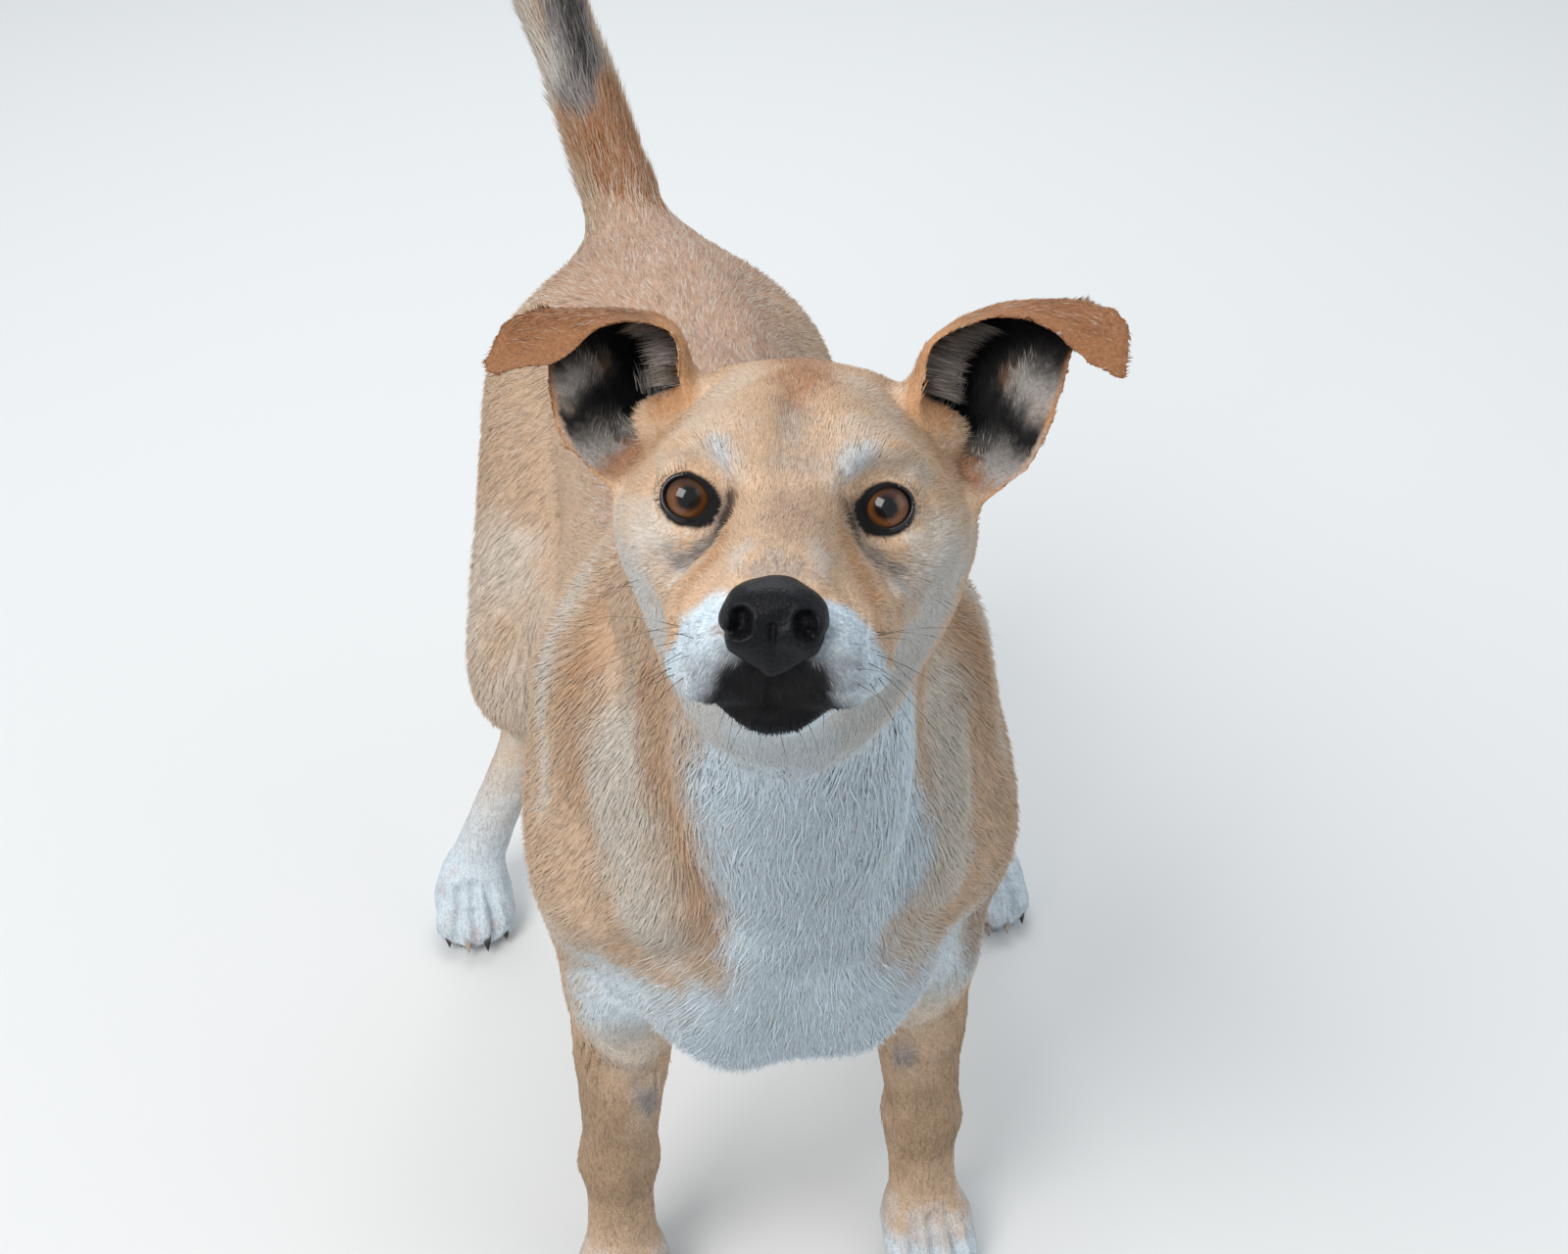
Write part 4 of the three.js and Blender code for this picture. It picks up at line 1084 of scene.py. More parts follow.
def layered(colour, places, marks, scatter):
    for shade, strength, softness, chain in marks:
        gap = chain_gap(places, chain) + softness * 1.1 * (scatter - 0.5)
        colour = covered(colour, strength * (1 - smoothstep(gap, -softness / 2, softness / 2)), shade)
    return colour


# The ears are leaves through three lines: the inner rim, the back of the cup and the outer rim,
# in the head's millimetres. The dog's right flap hangs lower than its left.
EAR_LINES = [
    [(40, -46, 18), (46, -50, 36), (52, -55, 54), (66, -50, 62), (87, -42, 54), (104, -38, 45)],
    [(40, -72, 6), (46, -88, 32), (54, -88, 56), (74, -74, 67), (93, -60, 68), (109, -46, 57)],
    [(54, -38, -4), (76, -42, 10), (86, -48, 30), (92, -60, 52), (98, -64, 66), (102, -54, 69)],
]
EAR_DROOP = {1: (0, 0, 0), -1: (-5, 4, -11)}
EAR_GRID = 21
EAR_NEARBY = 12
EAR_PART = 4000  # how many places are measured at a time


def ear_sheet(side):
    """The middle of an ear: places, directions into the cup and to the tip, across and along."""
    inner, spine, outer = (along(line, 8) for line in EAR_LINES)
    across = np.linspace(-1, 1, EAR_GRID)[None, :, None]
    steps = np.linspace(0, 1, len(spine))[:, None]
    fall = np.clip(2.5 * steps - 0.75, 0, 1)
    droop = fall[:, None] * np.array(EAR_DROOP[side])
    bend = (outer + inner - 2 * spine)[:, None] / 2 * across**2
    sheet = spine[:, None] + (outer - inner)[:, None] / 2 * across + bend + droop
    tipwards = unit(np.gradient(sheet, axis=0))
    outwards = unit(np.gradient(sheet, axis=1))
    inside = unit(np.cross(tipwards, outwards))
    if inside[8, EAR_GRID // 2, 1] < 0:
        inside = -inside
    sheet, tipwards, outwards, inside = (
        (field * (side, 1, 1)).reshape(-1, 3) for field in (sheet, tipwards, outwards, inside)
    )
    across_all = np.broadcast_to(across[..., 0], (len(steps), EAR_GRID)).ravel()
    along_all = np.broadcast_to(steps, (len(steps), EAR_GRID)).ravel()
    return sheet, tipwards, outwards, inside, across_all, along_all


EAR_SHEETS = {side: ear_sheet(side) for side in (1, -1)}


def on_ears(head_places):
    """For places near an ear: distance, side of the leaf, across, along and its directions."""
    size = len(head_places)
    found = {name: np.zeros(size) for name in ("within", "across", "along")}
    found |= {name: np.zeros((size, 3)) for name in ("tipwards", "outwards", "inside")}
    found["gap"] = np.full(size, 1e3)
    for side in (1, -1):
        sheet, *fields = EAR_SHEETS[side]
        low, high = sheet.min(0) - EAR_NEARBY, sheet.max(0) + EAR_NEARBY
        near = np.flatnonzero(np.all((head_places > low) & (head_places < high), axis=1))
        for part in np.array_split(near, max(1, len(near) // EAR_PART)):
            gaps = np.linalg.norm(head_places[part][:, None] - sheet[None], axis=2)
            best = gaps.argmin(1)
            found["gap"][part] = gaps.min(1)
            for name, field in zip(("tipwards", "outwards", "inside", "across", "along"), fields):
                found[name][part] = field[best]
            offset = head_places[part] - sheet[best]
            found["within"][part] = np.sum(offset * found["inside"][part], axis=1)
    return found


SPECKLED = [(12, 84, -40, 12), (22, 64, -42, 10)]


def face_colour(places, scatter):
    """The colour of the head without its ears."""
    head = folded(in_head(places))
    face = layered(np.tile(TAN, (len(places), 1)), head, HEAD_MARKINGS, scatter)
    speckle = smoothstep(mottle(places, 0.0020, 6), 0.62, 0.80)
    speckle *= 1 - smoothstep(chain_gap(head, SPECKLED), 0, 8)
    speckle *= smoothstep(face.mean(1), 0.3, 0.6)
    face = covered(face, 0.50 * speckle, GREY)
    for side in (1, -1):
        distance, past_lid, bearing = seen_from_eye(places, side)
        below = np.clip(-np.sin(bearing), 0, 1)
        noseward = np.clip(np.cos(bearing), 0, 1) ** 4
        band = 1.3 + 0.8 * below + 0.32 * noseward + 1.4 * (scatter - 0.5)
        rim = (1 - smoothstep(past_lid, band - 0.5, band + 0.8)) * (distance < 0.018)
        corner = np.exp(-(((np.degrees(bearing) + 8) / 36) ** 2))
        corner *= (1 - smoothstep(past_lid, 1.5, 8)) * (distance < 0.020)
        # The lids' skin with its painted sheen rings each eye and its corner towards the nose.
        face = covered(face, np.maximum(rim, 0.75 * corner * smoothstep(scatter, 0.3, 0.6)), LID_SKIN_AND_SHEEN)
    return face


def ear_colour(ears, facing, scatter):
    """Rusty backs, flaps and base corners, dark cups, and pale hair by the inner rim, at the foot
    and under the fold."""
    on_rise = smoothstep(ears["along"], 0.25, 0.7)
    back = GINGER + on_rise[:, None] * (RUST - GINGER)
    fold_line = np.exp(-(((ears["along"] - 0.52) / 0.07) ** 2)) * smoothstep(scatter, 0.45, 0.75)
    back = covered(back, 0.45 * fold_line, BROWN)
    back = back * (1 - 0.26 * smoothstep(ears["along"], 0.3, 0.6))[:, None]
    across = ears["across"] + 0.10 * (scatter - 0.5)
    length = ears["along"] + 0.05 * (scatter - 0.5)
    inner_hair = smoothstep(-across, 0.58, 0.72) * (1 - smoothstep(length, 0.38, 0.50))
    foot_hair = 1 - smoothstep(length, 0.06, 0.13)
    low_rim = smoothstep(across, 0.62, 0.86) * (1 - smoothstep(length, 0.14, 0.28))
    pale = np.maximum(np.maximum(inner_hair, foot_hair), low_rim)
    cup = BLACK + pale[:, None] * (FRINGE - BLACK)
    under_fold = smoothstep(across, 0.56, 0.76) * np.exp(-(((length - 0.41) / 0.06) ** 2))
    cup = covered(cup, 0.85 * under_fold, FRINGE)
    by_base = smoothstep(across, 0.15, 0.45) * (1 - smoothstep(length, 0.09, 0.16))
    cup = covered(cup, 0.80 * by_base, RUST)
    rim_colour = covered(back, 0.60 * (across > 0) * (1 - smoothstep(length, 0.40, 0.55)), FRINGE)
    flap = smoothstep(length, 0.58, 0.68) * (ears["within"] < 9)
    rims = np.maximum(smoothstep(across, 0.90, 0.97), smoothstep(-across, 0.70, 0.82))
    cup = covered(cup, np.maximum(rims, flap), rim_colour)
    faces_in = smoothstep(((facing @ HEAD_AXES.T) * ears["inside"]).sum(1), -0.25, 0.15)
    return covered(back, smoothstep(ears["within"], 0.1, 0.9) * faces_in, cup)


def markings(places, zone, facing, ears=None):
    """The light that the coat reflects at each place, given the zone that the place is in and
    the way that the surface faces there."""
    head = in_head(places)
    body = in_body(places)
    ears = ears or on_ears(head)
    scatter = 0.6 * mottle(places, 0.011, 1) + 0.4 * mottle(places, 0.0035, 2)
    fawn = np.tile(FAWN, (len(places), 1))
    colour = layered(fawn, folded(body), BODY_MARKINGS, scatter)
    colour = layered(colour, body, BIB_MARKINGS, scatter)
    in_tail = zone == ZONES.index("tail")
    colour[in_tail] = layered(fawn[in_tail], body[in_tail], TAIL_MARKINGS, scatter[in_tail])
    # The feet fade to white from the wrist down, and further up on the hind legs.
    hind = smoothstep(body[:, 1], 60, 120)
    foot = 1 - smoothstep(body[:, 2] + 26 * (scatter - 0.5), 13 + 19 * hind, 46 + 86 * hind)
    colour = covered(colour, 0.92 * foot, SKY_TINTED_WHITE)
    colour = covered(colour, 0.35 * foot * smoothstep(mottle(places, 0.009, 4), 0.66, 0.86), PINK)
    headness = smoothstep(head[:, 1] + 0.5 * head[:, 2], -118, -70)
    colour = covered(colour, headness, face_colour(places, scatter))
    on_leaf = np.maximum(1 - smoothstep(ears["gap"], 8, 11), zone == ZONES.index("ear"))
    on_leaf *= smoothstep(ears["along"], 0.02, 0.12)
    colour = covered(colour, on_leaf, ear_colour(ears, facing, scatter))
    return np.clip(colour, 0.002, 1)


def paint(mesh, colours):
    layer = mesh.color_attributes.new(name="coat", type="FLOAT_COLOR", domain="POINT")
    values = np.ones((len(mesh.vertices), 4), np.float32)
    values[:, :3] = colours
    layer.data.foreach_set("color", values.ravel())


def coat_colour(surface, shade):
    """The colour painted on the mesh, darkened by a shade."""
    darkened = add_node(surface, "Mix")
    darkened.data_type = "RGBA"
    darkened.blend_type = "MULTIPLY"
    darkened.inputs["Factor"].default_value = 1
    feed(attribute(surface, "coat").outputs["Color"], darkened.inputs["A"])
    feed(shade, darkened.inputs["B"])
    feed(darkened.outputs["Result"], surface.inputs["Base Color"])


pairs = edges_of(skin.data)
places = places_of(skin.data)
skin_zone = zones_of(places)
skin_ears = on_ears(in_head(places))
normals = normals_of(skin.data)
paint(skin.data, markings(places, skin_zone, normals, skin_ears))

# The hide is painted darker in the hollows of its grain: painted shade.
HIDE_HOLLOW_SHADE = [(0.30, (0.62, 0.60, 0.58)), (0.68, (1, 1, 1))]
hide, hide_surface = shader("hide", 0.72, 0.18)
hide_grain = pattern(hide_surface, 900, 4)
coat_colour(hide_surface, colour_scale(hide_surface, hide_grain, HIDE_HOLLOW_SHADE))
bump(hide_surface, hide_grain, 0.5, 0.0006)
skin.data.materials.append(hide)

# ---------------------------------------------------------------- the lie of the coat
# Hair runs from the nose back over the head, down the neck and the legs, back along the trunk
# and out along the tail. Guides give its run at a few places, and it turns smoothly between.
HEAD_LIE = [
    # place in the head's millimetres, run, for the left half; the right half mirrors it
    ((0, 74, -10), (0, -1, 0.2)), ((0, 40, -6), (0, -1, 0.3)), ((12, 52, -12), (0.2, -1, 0.1)),
    ((16, 84, -24), (0.9, -0.4, -0.3)), ((22, 66, -30), (0.5, -1, -0.35)),
    ((12, 84, -42), (0.7, -0.2, -0.8)), ((0, 88, -42), (0.1, 0, -1)), ((26, 50, -42), (0.3, -0.8, -0.7)),
    ((30, 30, -38), (0.3, -1, -0.5)), ((0, 78, -58), (0.1, -0.5, -1)), ((10, 66, -64), (0.2, -0.9, -0.5)),
    ((0, 30, -68), (0, -1, -0.3)), ((6, 10, 2), (0.1, -0.7, 0.7)), ((8, -6, 18), (0.2, -0.8, 0.7)),
    ((6, -30, 38), (0.2, -1, 0.25)), ((20, 6, 10), (0.1, -0.4, 0.9)), ((30, -4, 18), (0.6, -0.8, 0.5)),
    ((44, -14, 12), (0.9, -0.8, 0.2)), ((18, 12, -14), (0.5, -0.7, -0.7)),
    ((30, 8, -18), (0.7, -0.8, -0.4)), ((48, -12, -6), (0.5, -1, 0.0)), ((34, -40, 30), (0.7, -0.8, 0.2)),
    ((50, -34, -10), (0.3, -1, -0.1)), ((46, -24, -30), (0.3, -0.9, -0.5)),
    ((36, -6, -48), (0.3, -0.9, -0.7)), ((54, -60, -20), (0.3, -0.8, -0.7)),
    ((12, -84, 34), (0.1, -1, -0.4)), ((0, -20, -72), (0, -0.8, -0.6)), ((26, -40, -66), (0.3, -0.6, -0.9)),
]
BODY_LIE = [
    # place in millimetres with x from the middle, run
    ((0, -190, 570), (0, 0.8, -0.5)), ((0, -120, 520), (0, 1, -0.3)), ((60, -220, 560), (0.2, 0.3, -1)),
    ((76, -190, 480), (0.2, 0.5, -0.9)), ((72, -220, 430), (0.3, 0.1, -1)), ((0, -300, 520), (0, 0.3, -1)),
    ((34, -280, 500), (0.3, 0.3, -1)), ((0, -258, 430), (0.1, 0.1, -1)), ((26, -250, 400), (0.35, 0.1, -1)),
    ((0, -240, 340), (0.1, 0, -1)), ((40, -225, 340), (0.7, 0.2, -0.8)),
    ((74, -190, 350), (0.5, 0.4, -0.8)), ((0, -215, 272), (0, 0.7, -0.8)), ((0, -150, 244), (0, 1, -0.2)),
    ((60, -160, 260), (0.3, 0.5, -1)), ((0, -60, 505), (0, 1, -0.05)), ((0, 80, 490), (0, 1, -0.1)),
    ((0, 220, 470), (0, 1, -0.3)), ((70, -90, 470), (0.2, 0.8, -0.6)), ((92, -130, 400), (0.1, 0.5, -0.9)),
    ((90, -40, 400), (0.1, 0.9, -0.5)), ((86, -40, 320), (0, 0.9, -0.4)), ((70, 80, 400), (0.1, 0.9, -0.4)),
    ((60, 80, 310), (0, 0.9, -0.3)), ((0, 0, 240), (0, 1, 0)), ((0, 120, 262), (0, 1, 0.2)),
    ((66, 200, 440), (0.2, 0.7, -0.7)), ((100, 150, 350), (0.2, 0.4, -0.9)),
    ((104, 90, 280), (0.1, 0.2, -1)), ((60, 290, 380), (0.1, 0.5, -0.9)), ((50, 270, 320), (0.2, 0.0, -1)),
    ((30, 150, 300), (0.1, 0.3, -1)), ((82, -128, 220), (0.05, 0.1, -1)), ((86, -120, 120), (0, 0, -1)),
    ((86, -112, 50), (0, -0.2, -1)), ((86, -140, 20), (0, -0.9, -0.4)),
    ((120, 150, 220), (0.25, 0.5, -0.9)), ((140, 230, 150), (0.1, 0.3, -1)),
    ((150, 230, 90), (0.1, -0.2, -1)), ((165, 200, 40), (0.2, -0.5, -0.8)),
    ((170, 170, 16), (0.1, -0.9, -0.3)),
]
TAIL_LIE = [
    ((-6, 285, 450), (-0.1, 0.75, 0.65)), ((-18, 340, 500), (-0.2, 0.5, 0.8)),
    ((-32, 376, 560), (-0.25, 0.25, 1)), ((-56, 392, 625), (-0.3, 0, 1)),
    ((-74, 384, 690), (-0.15, -0.3, 1)),
]
HEAD_REACH = 0.010
BODY_REACH = 0.028
LIE_FALL = 2.5
guides = []
for table, reach, sides in (
    (HEAD_LIE, HEAD_REACH, (1, -1)), (BODY_LIE, BODY_REACH, (1, -1)), (TAIL_LIE, BODY_REACH, (1,))
):
    for place, run in table:
        for side in sides:
            place_here = np.array(place, float) * (side, 1, 1)
            run_here = np.array(run, float) * (side, 1, 1)
            if table is HEAD_LIE:
                guides.append((from_head(place_here), unit(run_here @ HEAD_AXES), reach))
            else:
                guides.append((from_body(place_here), unit(run_here), reach))
guide_places, guide_runs, guide_reach = (np.array(column) for column in zip(*guides))


def laid_down(vectors, normals):
    """The part of each vector that runs along the surface."""
    return vectors - normals * (vectors * normals).sum(1, keepdims=True)


lie = np.zeros_like(places)
for part in np.array_split(np.arange(len(places)), 24):
    square = ((places[part][:, None] - guide_places[None]) ** 2).sum(2)
    pull = 1 / (square + guide_reach**2) ** LIE_FALL
    lie[part] = (pull[:, :, None] * guide_runs[None]).sum(1) / pull.sum(1)[:, None]
# On an ear the hair runs from the base to the tip, and from both rims into the cup.
into_cup = 1.2 * skin_ears["across"][:, None] * skin_ears["outwards"]
ear_run = skin_ears["tipwards"] - np.where((skin_ears["within"] > 0)[:, None], into_cup, 0)
ear_pull = (1 - smoothstep(skin_ears["gap"], 5, 9)) * smoothstep(skin_ears["along"], 0.0, 0.15)
lie = unit(lie) * (1 - ear_pull)[:, None] + unit(ear_run @ HEAD_AXES) * ear_pull[:, None]
# Around each eye it runs outwards from the lids.
for side in (1, -1):
    distance, past_lid, _ = seen_from_eye(places, side)
    away = unit(laid_down(places - EYE_CENTRES[side], normals))
    lie += away * (1.8 * (1 - smoothstep(past_lid, 1, 7)) * (distance < 0.022))[:, None]
lie = diffused(unit(laid_down(lie, normals)), pairs, 3)
lie = unit(laid_down(lie, normals))

# The hair's length, breadth and lift in each zone, in metres and as a slope.
HAIR = {
    "head": (0.0047, 0.00058, 0.17), "ear": (0.0044, 0.00058, 0.13), "neck": (0.0140, 0.00090, 0.15),
    "trunk": (0.0110, 0.00115, 0.14), "leg": (0.0060, 0.00080, 0.11), "paw": (0.0048, 0.00066, 0.13),
    "tail": (0.0150, 0.00095, 0.26),
}
hair = diffused(by_zone(HAIR, skin_zone), pairs, 10)


def trim(share, length=0.0, breadth=0.0, lift=0.0):
    """The hair is made shorter, thinner and flatter by these parts of itself."""
    hair[:] *= 1 - np.outer(share, (length, breadth, lift))


# It is long and fine on the chest, and short on the ears' rims, the muzzle and about the eyes.
CHEST = [(0, -320, 540, 30), (0, -270, 450, 44), (10, -240, 380, 46), (10, -215, 300, 44)]
CHEST_EXTRA_LENGTH = 0.0060
MUZZLE = [(0, 90, -24, 20), (16, 74, -34, 18), (10, 74, -56, 14)]
side_rims = smoothstep(np.abs(skin_ears["across"]), 0.70, 0.92)
on_rim = np.maximum(side_rims, smoothstep(skin_ears["along"], 0.84, 0.96))
trim(on_rim * (skin_zone == ZONES.index("ear")), length=0.55, lift=0.50)
chest_share = 1 - smoothstep(chain_gap(folded(in_body(places)), CHEST), 0, 24)
hair[:, 0] += CHEST_EXTRA_LENGTH * chest_share
trim(chest_share, breadth=0.36, lift=0.38)
face_places = folded(in_head(places))
muzzle_share = 1 - smoothstep(chain_gap(face_places, MUZZLE), 0, 16)
trim(muzzle_share, length=0.42, breadth=0.20)
for side in (1, -1):
    distance, past_lid, _ = seen_from_eye(places, side)
    trim((1 - smoothstep(past_lid, 0, 9)) * (distance < 0.024), length=0.66, breadth=0.30)

# ---------------------------------------------------------------- the coat
# Tufts of hair over the whole skin, each a thin closed spike that lies along the body and
# overlaps its neighbours. They are straight, but the locks of the breast and the pale hairs in
# the ears are bent.
UV_ANGLE = math.radians(62)
UV_MARGIN = 0.002
skin.data.uv_layers.new(name="OFBake")
edit_whole(skin, bpy.ops.uv.smart_project, angle_limit=UV_ANGLE, island_margin=UV_MARGIN)

skin.data.calc_loop_triangles()
triangle_vertices = read(skin.data.loop_triangles, "vertices", 3, np.int32)
triangle_loops = read(skin.data.loop_triangles, "loops", 3, np.int32)
skin_uv = read(skin.data.uv_layers["OFBake"].data, "uv", 2)
corners = places[triangle_vertices]
edges = corners[:, 1:] - corners[:, :1]
triangle_area = np.linalg.norm(np.cross(edges[:, 0], edges[:, 1]), axis=1) / 2
triangle_middle = corners.mean(1)
triangle_zone = skin_zone[triangle_vertices[:, 0]]

# No hair grows inside the lids, in the mouth, behind the nose leather or under the feet.
bare = np.zeros(len(places), bool)
for side in (1, -1):
    distance, past_lid, _ = seen_from_eye(places, side)
    bare |= (past_lid < 0.6) & (distance < 0.016)
bare |= chain_gap(face_places, MOUTH_CRACK) < 0.6
bare |= past_nose(places)[0] < 0.0004
bare |= places[:, 2] < 0.003
bare_triangle = bare[triangle_vertices].any(1)

STREAKS = [(0.25, (0.72, 0.70, 0.68)), (0.75, (1, 1, 1))]
hair_material, hair_surface = shader("hair", 0.62, 0.15)
coat_colour(hair_surface, colour_scale(hair_surface, pattern(hair_surface, 1400), STREAKS))

# A tuft's corners are three round its root, three round its knee if it has two joints, and a tip.
SPIKE_FACES = {
    1: [(0, 1, 3), (1, 2, 3), (2, 0, 3), (0, 2, 1)],
    2: [
        (0, 1, 4), (0, 4, 3), (1, 2, 5), (1, 5, 4), (2, 0, 3), (2, 3, 5), (3, 4, 6), (4, 5, 6),
        (5, 3, 6), (0, 2, 1),
    ],
}
# Each corner's colour is scaled by painted shade: darker at the root and on the lower corners, lighter on the
# ridge and towards the tip.
SPIKE_PAINTED_SHADE = {1: [0.90, 0.90, 0.93, 1.06], 2: [0.90, 0.90, 0.93, 0.98, 0.98, 1.0, 1.04]}
TUFT_PATCH = 0.003  # of the UV map
TINT_STRENGTH = 0.85
LOCK_SIZE = 0.014
SHARED_SWAY = 0.42
OWN_SWAY = 0.45


def grow(name, chosen, count, joints, seed, stretch=1.0, aim=None, tint=None):
    """Tufts on the chosen triangles of the skin, as one piece with `joints` lengths a tuft.
    They follow the lie of the coat, or stand free of the skin along the aim. A tint covers most
    of the markings' colour."""
    draw = np.random.default_rng(seed)
    pool = np.flatnonzero(chosen & ~bare_triangle)
    weight = np.cumsum(triangle_area[pool])
    picks = (np.arange(count) + draw.random(count)) / count * weight[-1]
    picked = pool[np.minimum(np.searchsorted(weight, picks), len(pool) - 1)]
    a, b = np.sqrt(draw.random(count)), draw.random(count)
    shares = np.stack((1 - a, a * (1 - b), a * b), axis=1)[..., None]
    ring = triangle_vertices[picked]

    def at_roots(values):
        return (values[ring] * shares).sum(1)

    roots = at_roots(places)
    out = unit(at_roots(normals))
    run = unit(laid_down(at_roots(lie), out) if aim is None else at_roots(aim))
    size = at_roots(hair)
    uv = (skin_uv[triangle_loops[picked]] * shares).sum(1)
    side = unit(np.cross(out, run))
    # Neighbouring hairs part into locks, so a tuft's turn is partly shared with those near it.
    sway = (mottle(roots, LOCK_SIZE, seed) - 0.5) * SHARED_SWAY + (draw.random(count) - 0.5) * OWN_SWAY
    run = unit(run + side * sway[:, None])
    side = unit(np.cross(out, run))
    length = size[:, 0] * (0.72 + 0.56 * draw.random(count)) * stretch
    breadth = size[:, 1] * (0.75 + 0.5 * draw.random(count)) / stretch**0.8
    lift = size[:, 2] * (0.55 + 0.9 * draw.random(count))
    base = roots - out * (breadth * 0.5)[:, None]
    half = side * (breadth * 0.5)[:, None]
    ridge = out * (breadth * 0.55)[:, None]
    if joints == 1:
        tip = base + run * length[:, None] + out * (length * lift)[:, None]
        rows = [base - half, base + half, base + ridge, tip]
    else:
        knee = base + run * (length * 0.52)[:, None] + out * (length * lift * 0.75)[:, None]
        tip = base + run * length[:, None] + out * (length * lift * 0.9)[:, None]
        rows = [base - half * 0.9, base + half * 0.9, base + ridge]
        rows += [knee - half, knee + half, knee + ridge, tip]
    corners_each = len(rows)
    points = np.stack(rows, axis=1).reshape(-1, 3)
    faces = np.array(SPIKE_FACES[joints])
    if np.linalg.det(np.stack((side[0], run[0], out[0]))) > 0:
        faces = faces[:, ::-1]
    triangles = (np.arange(count)[:, None, None] * corners_each + faces[None]).reshape(-1, 3)
    mesh = bpy.data.meshes.new(name)
    mesh.vertices.add(len(points))
    mesh.vertices.foreach_set("co", points.astype(np.float32).ravel())
    mesh.loops.add(triangles.size)
    mesh.loops.foreach_set("vertex_index", triangles.ravel().astype(np.int32))
    mesh.polygons.add(len(triangles))
    mesh.polygons.foreach_set("loop_start", np.arange(0, triangles.size, 3, dtype=np.int32))
    mesh.update(calc_edges=True)
    mesh.shade_smooth()
    # A tuft takes the markings' colour at its root. Some tufts are paler, most of all on the
    # saddle, and a few are darker.
    shade = markings(roots, triangle_zone[picked], out)
    if tint is not None:
        shade += TINT_STRENGTH * (tint - shade)
        shade *= (0.60 + 0.60 * draw.random(count))[:, None]
    shade = shade * (0.89 + 0.20 * draw.random(count))[:, None]
    tick = draw.random(count)
    on_saddle = 1 - smoothstep(chain_gap(in_body(roots), SADDLE_CHAIN), -6, 34)
    pale = (tick > 0.86 - 0.12 * on_saddle) & (shade.mean(1) > 0.06)
    shade = covered(shade, pale * (0.35 + 0.25 * on_saddle), CREAM)
    dark = tick < 0.09
    darkened = 0.72 + 0.22 * smoothstep(shade.mean(1), 0.3, 0.6)
    shade *= np.where(dark, darkened, 1)[:, None]
    # The tuft is painted darker at its root and lighter towards its top and tip, as shade and light among the
    # hairs.
    painted_shading = np.array(SPIKE_PAINTED_SHADE[joints])[None, :, None]
    paint(mesh, np.clip(shade[:, None] * painted_shading, 0, 1).reshape(-1, 3))
    patch = np.zeros((corners_each, 2))
    patch[:, 0] = np.linspace(-0.5, 0.5, corners_each) * TUFT_PATCH
    patch[-1, 1] = TUFT_PATCH
    tuft_uv = (uv[:, None] + patch[None]).reshape(-1, 2)[triangles.ravel()]
    layer = mesh.uv_layers.new(name="OFBake")
    layer.data.foreach_set("uv", np.clip(tuft_uv, 0, 1).astype(np.float32).ravel())
    # Light falls on a coat as on the body under it, so each spike's shading leans to the skin's.
    if name.startswith("ear"):
        # On the thin ears a spike is also seen from below, past the rim.
        flat = read(mesh.polygons, "normal", 3).reshape(-1, len(faces), 3)
        facing = np.where((flat * out[:, None]).sum(2) < 0, -1.0, 1.0)
        lean = unit(flat * 0.8 + facing[..., None] * out[:, None])
        mesh.normals_split_custom_set(np.repeat(lean.reshape(-1, 3), 3, axis=0).astype(np.float32))
    else:
        lean = unit(normals_of(mesh) * 0.20 + np.repeat(out, corners_each, axis=0))
        mesh.normals_split_custom_set_from_vertices(lean.astype(np.float32))
    piece = bpy.data.objects.new(name, mesh)
    scene.collection.objects.link(piece)
    mesh.materials.append(hair_material)
    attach(piece, "root")


zone_is = {zone: triangle_zone == number for number, zone in enumerate(ZONES)}
left_half = triangle_middle[:, 0] > BODY_MIDDLE
front_half = triangle_middle[:, 1] < 0.0
head_left_half = in_head(triangle_middle)[:, 0] > 0
in_front_of_neck = chest_share[triangle_vertices].mean(1) > 0.5
grow("coat_head_left", zone_is["head"] & head_left_half, 40000, 1, 11)
grow("coat_head_right", zone_is["head"] & ~head_left_half, 40000, 1, 12)
grow("ear_coat", zone_is["ear"], 20000, 1, 13)
grow("coat_neck_left", zone_is["neck"] & left_half & ~in_front_of_neck, 26500, 1, 14)
grow("coat_neck_right", zone_is["neck"] & ~left_half & ~in_front_of_neck, 26500, 1, 15)
grow("coat_breast", (zone_is["neck"] | zone_is["trunk"]) & in_front_of_neck, 42000, 1, 16)
grow("locks_breast", (zone_is["neck"] | zone_is["trunk"]) & in_front_of_neck, 4000, 2, 24, 1.15)
grow("coat_fore_left", zone_is["trunk"] & left_half & front_half & ~in_front_of_neck, 22000, 1, 17)
grow("coat_fore_right", zone_is["trunk"] & ~left_half & front_half & ~in_front_of_neck, 22000, 1, 18)
grow("coat_rear_left", zone_is["trunk"] & left_half & ~front_half, 26500, 1, 19)
grow("coat_rear_right", zone_is["trunk"] & ~left_half & ~front_half, 26500, 1, 20)
grow("coat_forelegs", (zone_is["leg"] | zone_is["paw"]) & front_half, 23000, 1, 21)
grow("coat_hindlegs", (zone_is["leg"] | zone_is["paw"]) & ~front_half, 27000, 1, 22)
grow("coat_tail", zone_is["tail"], 12000, 1, 23)

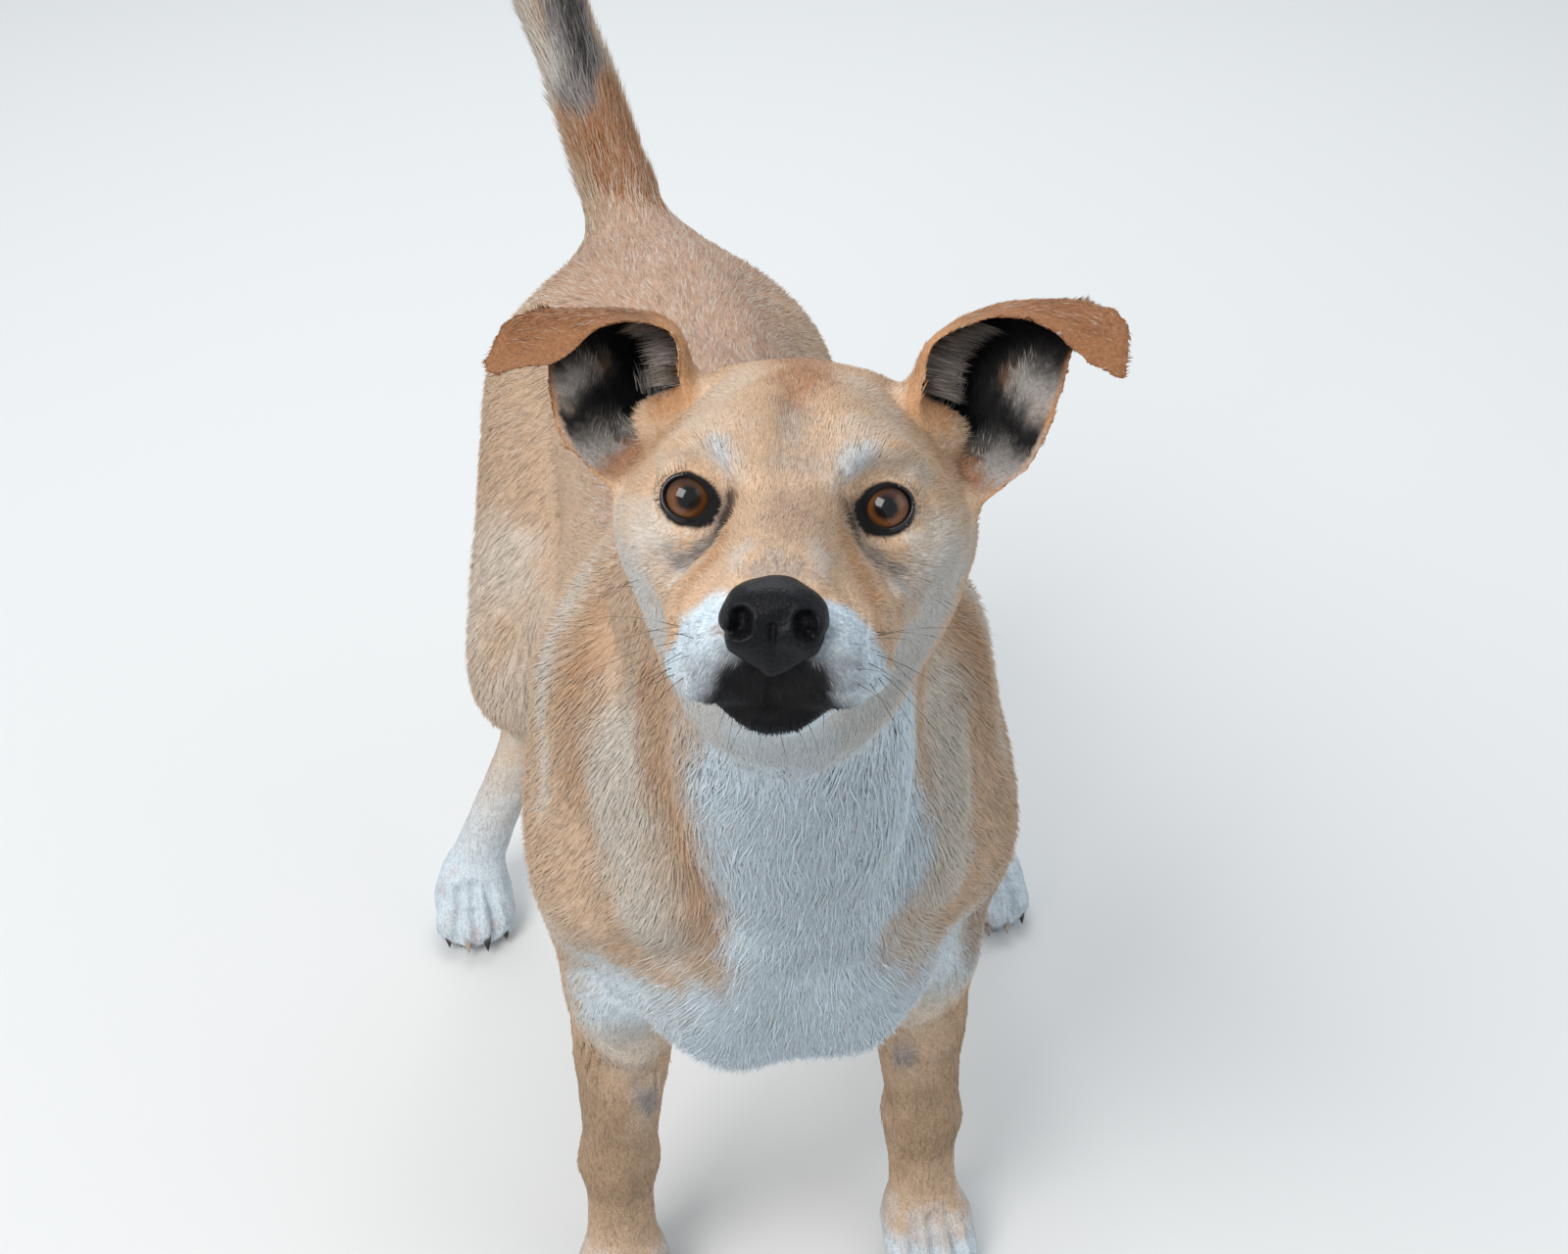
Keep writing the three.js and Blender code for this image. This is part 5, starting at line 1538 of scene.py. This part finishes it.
# Longer pale hairs fan from the inner rim and the foot of each ear across its dark cup.
ear_across, ear_along, ear_within = (
    skin_ears[name][triangle_vertices].mean(1) for name in ("across", "along", "within")
)
chord = np.zeros_like(places)
for side in (1, -1):
    sheet = EAR_SHEETS[side][0].reshape(-1, EAR_GRID, 3)
    to_outer = unit(sheet[:, -1] - sheet[:, 0])
    steps = np.linspace(0, 1, len(to_outer))
    own_side = in_head(places)[:, 0] * side > 0
    for axis in range(3):
        chord[own_side, axis] = np.interp(skin_ears["along"][own_side], steps, to_outer[:, axis])
across_cup = (chord + 0.45 * skin_ears["tipwards"]) @ HEAD_AXES
up_cup = skin_ears["tipwards"] @ HEAD_AXES
facing_cup = (normals * across_cup).sum(1)[triangle_vertices].mean(1) > -0.35
by_inner_rim = (ear_across < -0.60) & (ear_across > -0.84) & (ear_along > 0.19) & (ear_along < 0.48)
inner_rim = zone_is["ear"] & facing_cup & by_inner_rim
at_foot = (ear_along < 0.26) & (np.abs(ear_across) < 0.5)
ear_foot = zone_is["ear"] & (ear_within > 0.2) & at_foot
grow("ear_fringe", inner_rim, 2200, 2, 31, 2.4, across_cup, FRINGE)
grow("ear_foot_hair", ear_foot, 500, 2, 32, 1.8, up_cup, FRINGE)

# ---------------------------------------------------------------- whiskers and lashes
# Single stiff hairs: rows of them on the lips, a few on the chin, the brows and the cheeks, and
# the lashes along the upper lids. Each is a thin tapered tube. Whiskers droop, lashes curl up.
skin_tree = tree_of(places)
draw = np.random.default_rng(77)
STRAND_JOINTS = 7
LASHES = 22
LASHES_FROM_TO = (0.35, 2.7)  # round the eye, from the nose over the top
stiff_hairs = []  # side, spot and course in the head's directions, length and thickness in mm
for side in (1, -1):
    for row, up in enumerate((-33, -39, -45)):
        for column in range(4):
            spot = (27, 76 - 8 * column + 3 * draw.random(), up + 2 * draw.random())
            course = (1.0, 0.5 - 0.3 * column, -0.1 - 0.4 * row + 0.5 * draw.random())
            stiff_hairs.append((side, spot, course, 12 + 6 * column + 14 * draw.random(), 0.13))
    for count in range(4):
        spot = (3 + 5 * count + 2 * draw.random(), 68 - 3 * count, -62)
        course = (0.6 * draw.random(), 0.6 * draw.random(), -1.0)
        stiff_hairs.append((side, spot, course, 5 + 9 * draw.random(), 0.11))
    for count in range(2):
        spot = (21 + 6 * count, 5, 16)
        stiff_hairs.append((side, spot, (0.4 * draw.random(), 0.7, 1.0), 12 + 8 * draw.random(), 0.11))
    for count in range(2):
        spot = (50, -14 - 9 * count, -30)
        stiff_hairs.append((side, spot, (0.9, 0.1, -0.5 * draw.random()), 14 + 8 * draw.random(), 0.11))
WHISKER_DROOP = 0.35
LASH_DROOP = -0.3
strands = []
for side, spot, course, length, thickness in stiff_hairs:
    _, nearest, _ = skin_tree.find(from_head(np.array(spot) * (side, 1, 1)))
    course = unit(np.array(course) * (side, 1, 1) @ HEAD_AXES + 0.14 * draw.standard_normal(3))
    strands.append((places[nearest], course, length / 1000, thickness / 1000, WHISKER_DROOP))
for side in (1, -1):
    inwards, up, sight = eye_axes(side)
    for bearing in np.linspace(*LASHES_FROM_TO, LASHES):
        edge = 1.10 * np.array([8.4 * math.cos(bearing), 7.4 * math.sin(bearing)])
        root = on_line(edge[0], edge[1], side, EYE_RADIUS + 0.0010)
        course = 0.5 * math.cos(bearing) * inwards + 0.7 * up + 0.7 * sight
        course = unit(course + 0.12 * draw.standard_normal(3))
        strands.append((root, course, 0.0036 + 0.0014 * draw.random(), 0.00013, LASH_DROOP))
share = np.linspace(0, 1, STRAND_JOINTS)
rings = []
for root, course, length, thickness, droop in strands:
    line = root + length * (share[:, None] * course - (droop * share**2)[:, None] * np.array([0, 0, 1]))
    across = unit(np.cross(course, (0.13, 0.05, 1.0)))
    over = np.cross(across, course)
    width = thickness * (1.02 - share)[:, None]
    corners = [line + width * (math.cos(turn) * across + math.sin(turn) * over) for turn in (0, 2.094, 4.189)]
    rings.append(np.stack(corners, axis=1))
rings = np.array(rings)
number, joint, corner = np.meshgrid(
    np.arange(len(strands)), np.arange(STRAND_JOINTS - 1), np.arange(3), indexing="ij"
)
first = (number * STRAND_JOINTS + joint) * 3
following = (corner + 1) % 3
quads = np.stack((first + corner, first + following, first + 3 + following, first + 3 + corner), axis=-1)
start = np.arange(len(strands)) * STRAND_JOINTS * 3
last = start + (STRAND_JOINTS - 1) * 3
caps = [(a + 2, a + 1, a) for a in start.tolist()] + [(a, a + 1, a + 2) for a in last.tolist()]
walls = [tuple(quad) for quad in quads.reshape(-1, 4).tolist()]
whisker_mesh = bpy.data.meshes.new("whiskers")
whisker_mesh.from_pydata(rings.reshape(-1, 3).tolist(), [], walls + caps)
whiskers = bpy.data.objects.new("whiskers", whisker_mesh)
scene.collection.objects.link(whiskers)
settle(whiskers)
bristle, bristle_surface = shader("bristle", 0.45)
BRISTLE_SHADES = [(0.52, (0.010, 0.008, 0.007)), (0.62, (0.30, 0.26, 0.22))]
bristle_colour = colour_scale(bristle_surface, pattern(bristle_surface, 90), BRISTLE_SHADES)
feed(bristle_colour, bristle_surface.inputs["Base Color"])
whisker_mesh.materials.append(bristle)
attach(whiskers, "root")

bpy.ops.object.select_all(action="DESELECT")
